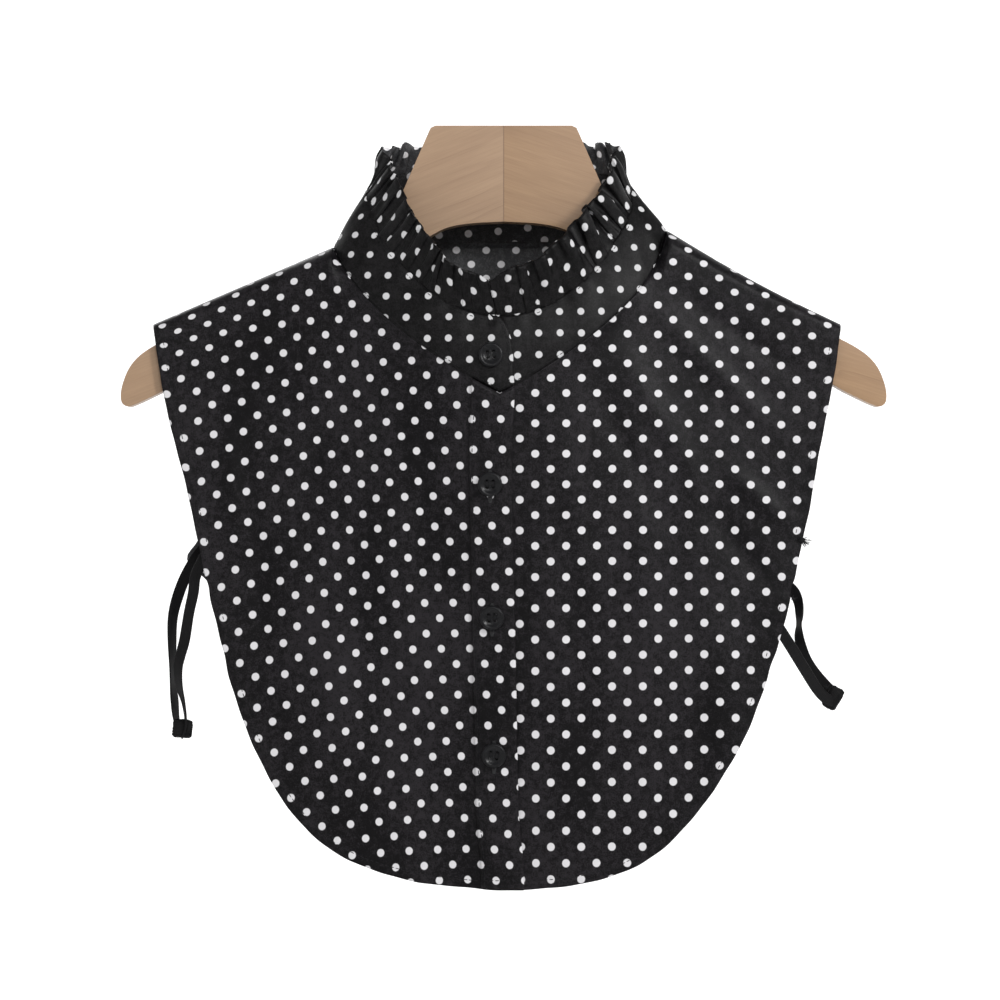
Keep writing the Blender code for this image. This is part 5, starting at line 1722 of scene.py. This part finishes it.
def add_buttons():
    """Four buttons with their threads, one on the stand and three down the placket."""
    shared = button_mesh()
    reach = 0.004
    places = [(STAND_BUTTON, stand_surface)] + [(place, placket_face) for place in PLACKET_BUTTONS]
    for number, ((x, drop), surface) in enumerate(places, start=1):
        across = surface(x + reach, drop) - surface(x - reach, drop)
        upward = surface(x, drop - reach) - surface(x, drop + reach)
        matrix = placing(surface(x, drop), across, upward, BUTTON_SEAT)
        spin = Matrix.Rotation(math.radians((6.0, 0.0, 3.0, -5.0)[number - 1]), 4, "Z")
        mesh = shared.copy()
        mesh.transform(matrix @ spin)
        name = f"button_{number}_resin"
        add_piece(name, mesh, (MATERIALS["button"],), (f"button_{number}",))
        button_threads(f"button_{number}_threads", matrix @ spin)


def tape_rows(table):
    """The tape's middle line and the way it faces, its sewn ends laid on the panels' inner faces."""
    rows = []
    inside = 0.5 * WALL + TAPE_GAP + 0.5 * TAPE_THICKNESS
    for x, y, drop, facing in table:
        if y is None:
            front = facing < 90
            off = float(hanging_off(x, drop, front)) - inside
            y = -off if front else off
        rows.append((x, y, -drop, math.radians(facing)))
    return through(rows, TAPE_STEPS)


def add_tape(name, table, side, node):
    """A flat elastic tape swept along its line, with rounded edges."""
    rows = tape_rows(table)
    middle = rows[:, :3]
    along = np.gradient(middle, axis=0)
    along /= np.linalg.norm(along, axis=1)[:, None]
    looks = np.stack([side * np.sin(rows[:, 3]), -np.cos(rows[:, 3]), np.zeros(len(rows))], axis=1)
    wide = np.cross(along, looks)
    wide /= np.linalg.norm(wide, axis=1)[:, None]
    thick = np.cross(wide, along)
    shape = []
    for u in (-1.0, -0.93, -0.6, -0.2, 0.2, 0.6, 0.93, 1.0):
        shape.append((u, 1.0 if abs(u) < 0.99 else 0.35))
    section = [(u, t) for u, t in shape] + [(u, -t) for u, t in reversed(shape)]
    count = len(section)
    verts = []
    for k in range(len(rows)):
        for u, t in section:
            verts.append(middle[k] + wide[k] * (0.5 * TAPE_WIDTH * u) + thick[k] * (0.5 * TAPE_THICKNESS * t))
    faces = []
    for k in range(len(rows) - 1):
        for c in range(count):
            after = (c + 1) % count
            faces.append((k * count + c, k * count + after, (k + 1) * count + after, (k + 1) * count + c))
    faces.append(tuple(range(count))[::-1])
    faces.append(tuple((len(rows) - 1) * count + c for c in range(count)))
    mesh = bpy.data.meshes.new(name)
    mesh.from_pydata([tuple(v) for v in verts], [], faces)
    mesh.update()
    distance = length_along(middle)
    layer = mesh.uv_layers.new(name="lattice")
    for loop, data in zip(mesh.loops, layer.data):
        row, column = divmod(loop.vertex_index, count)
        data.uv = (section[column][0] * 0.5 * TAPE_WIDTH, distance[row])
    shape = bmesh.new()
    shape.from_mesh(mesh)
    bmesh.ops.recalc_face_normals(shape, faces=shape.faces[:])
    shape.to_mesh(mesh)
    shape.free()
    mesh.shade_smooth()
    mesh.set_sharp_from_angle(angle=SHARP_ANGLE)
    return add_piece(name, mesh, (MATERIALS["tape"],), (node,))


def add_tape_fold(name, x, y, drop, length, width, turned):
    """The end of a tape's loop, folded over on itself and sewn flat: a small uneven block."""
    shape = bmesh.new()
    bmesh.ops.create_cube(shape, size=1.0)
    sizes = Vector((length, TAPE_FOLD_THICKNESS, width))
    bmesh.ops.scale(shape, vec=sizes, verts=shape.verts[:])
    bmesh.ops.subdivide_edges(shape, edges=shape.edges[:], cuts=3, use_grid_fill=True)
    edges = [edge for edge in shape.edges if len(edge.link_faces) == 2 and edge.calc_face_angle() > 1.0]
    bmesh.ops.bevel(shape, geom=edges, offset=TAPE_FOLD_ROUND, segments=3, profile=0.5, affect="EDGES")
    dice = random.Random(len(name))
    for vert in shape.verts:
        vert.co += Vector([dice.uniform(-TAPE_FOLD_UNEVEN, TAPE_FOLD_UNEVEN) for _ in range(3)])
    mesh = bpy.data.meshes.new(name)
    shape.to_mesh(mesh)
    shape.free()
    layer = mesh.uv_layers.new(name="lattice")
    for loop, data in zip(mesh.loops, layer.data):
        place = mesh.vertices[loop.vertex_index].co
        data.uv = (place.z, place.x)
    turn = Matrix.Rotation(math.radians(turned), 4, "Y")
    mesh.transform(Matrix.Translation((x, y, -drop)) @ turn)
    mesh.shade_smooth()
    return add_piece(name, mesh, (MATERIALS["tape"],))


def add_loose_threads():
    """Short frayed ends at the edges, each a curved tapering thread."""
    shape = bmesh.new()
    dice = random.Random(5)
    side = Vector((0.0, 1.0, 0.0))
    for x, y, drop, aim, spread, length, count in LOOSE_THREADS:
        for _ in range(count):
            angle = math.radians(aim + dice.uniform(-spread, spread))
            bend = math.radians(dice.uniform(-35.0, 35.0))
            size = length * dice.uniform(0.45, 1.0)
            start = Vector((x, y, -drop)) + Vector([dice.uniform(-0.0007, 0.0007) for _ in range(3)])
            rings = []
            for step in range(5):
                way = angle + bend * step / 4
                if step:
                    start = start + Vector((math.cos(way), 0.12, math.sin(way))) * (size / 4)
                up = Vector((-math.sin(way), 0.0, math.cos(way)))
                thick = LOOSE_THREAD_RADIUS * (1.0 - 0.18 * step)
                turns = [2.0 * math.pi * k / 5 for k in range(5)]
                rings.append([shape.verts.new(start + (side * math.cos(t) + up * math.sin(t)) * thick) for t in turns])
            for low, high in zip(rings, rings[1:]):
                for k in range(5):
                    shape.faces.new((low[k], low[(k + 1) % 5], high[(k + 1) % 5], high[k]))
            shape.faces.new(rings[0][::-1])
            shape.faces.new(rings[-1])
    bmesh.ops.recalc_face_normals(shape, faces=shape.faces[:])
    mesh = bpy.data.meshes.new("loose_threads")
    shape.to_mesh(mesh)
    shape.free()
    mesh.shade_smooth()
    add_piece("loose_threads", mesh, (MATERIALS["thread"],))


def hanger_board():
    """The whole hanger as one rounded board, before it is drilled and parted."""
    arm = through(HANGER_ARM, HANGER_STEPS)
    arch = through(HANGER_ARCH, HANGER_STEPS)
    half = [*HANGER_TOP[:-1], *[tuple(p) for p in arm], *[tuple(p) for p in arch]]
    outline = half + [(-x, drop) for x, drop in reversed(half) if x > 0.0]
    curve = bpy.data.curves.new("hanger_board", "CURVE")
    curve.dimensions = "2D"
    curve.fill_mode = "BOTH"
    curve.extrude = 0.5 * HANGER_THICKNESS
    spline = curve.splines.new("POLY")
    spline.points.add(len(outline) - 1)
    for point, (x, drop) in zip(spline.points, outline):
        point.co = (x, -drop, 0.0, 1.0)
    spline.use_cyclic_u = True
    board = bpy.data.objects.new("hanger_board", curve)
    bpy.context.scene.collection.objects.link(board)
    weld = board.modifiers.new("weld", "WELD")
    weld.merge_threshold = MERGE_DISTANCE
    rounding = board.modifiers.new("rounding", "BEVEL")
    rounding.width = HANGER_ROUND
    rounding.segments = HANGER_ROUND_SEGMENTS
    rounding.limit_method = "ANGLE"
    rounding.angle_limit = math.radians(60)
    bpy.context.view_layer.update()
    graph = bpy.context.evaluated_depsgraph_get()
    mesh = bpy.data.meshes.new_from_object(board.evaluated_get(graph))
    mesh.transform(Matrix.Rotation(math.radians(90), 4, "X"))
    bpy.data.objects.remove(board)
    return mesh


def drilled(mesh):
    """The board with the upright bore that a hanger's hook is screwed into."""
    board = bpy.data.objects.new("hanger_blank", mesh)
    cut_mesh = bpy.data.meshes.new("hook_bore")
    shape = bmesh.new()
    bmesh.ops.create_cone(
        shape,
        cap_ends=True,
        segments=24,
        radius1=HOOK_BORE_RADIUS,
        radius2=HOOK_BORE_RADIUS,
        depth=2.0 * HOOK_BORE_DEPTH,
    )
    shape.to_mesh(cut_mesh)
    shape.free()
    cutter = bpy.data.objects.new("hook_bore", cut_mesh)
    for made in (board, cutter):
        bpy.context.scene.collection.objects.link(made)
    drilling = board.modifiers.new("drilling", "BOOLEAN")
    drilling.operation = "DIFFERENCE"
    drilling.object = cutter
    bpy.context.view_layer.update()
    graph = bpy.context.evaluated_depsgraph_get()
    whole = bpy.data.meshes.new_from_object(board.evaluated_get(graph))
    bpy.data.objects.remove(board)
    bpy.data.objects.remove(cutter)
    return whole


def add_hanger():
    """The hanger's two halves, glued at the middle."""
    whole = drilled(hanger_board())
    for node, sign in (("hanger_right", -1.0), ("hanger_left", 1.0)):
        shape = bmesh.new()
        shape.from_mesh(whole)
        cut = bmesh.ops.bisect_plane(
            shape,
            geom=shape.verts[:] + shape.edges[:] + shape.faces[:],
            plane_co=(0.0, 0.0, 0.0),
            plane_no=(-sign, 0.0, 0.0),
            clear_outer=True,
        )
        rim = [item for item in cut["geom_cut"] if isinstance(item, bmesh.types.BMEdge)]
        bmesh.ops.edgeloop_fill(shape, edges=rim)
        bmesh.ops.recalc_face_normals(shape, faces=shape.faces[:])
        mesh = bpy.data.meshes.new(f"{node}_wood")
        shape.to_mesh(mesh)
        shape.free()
        mesh.shade_smooth()
        mesh.set_sharp_from_angle(angle=SHARP_ANGLE)
        look = MATERIALS["wood_right" if sign < 0 else "wood_left"]
        add_piece(f"{node}_wood", mesh, (look,), (node,))


add_camera()
add_stage()
add_lights()
add_panels()
add_placket()
add_stand()
add_ruffle()
add_hem_stitches()
add_placket_stitches()
add_stand_stitches()
add_buttonholes()
add_buttons()
add_tape("side_tape_right_elastic", TAPE_RIGHT, -1.0, "side_tape_right")
add_tape("side_tape_left_elastic", TAPE_LEFT, 1.0, "side_tape_left")
for fold in TAPE_FOLDS:
    add_tape_fold(*fold)
add_loose_threads()
add_hanger()
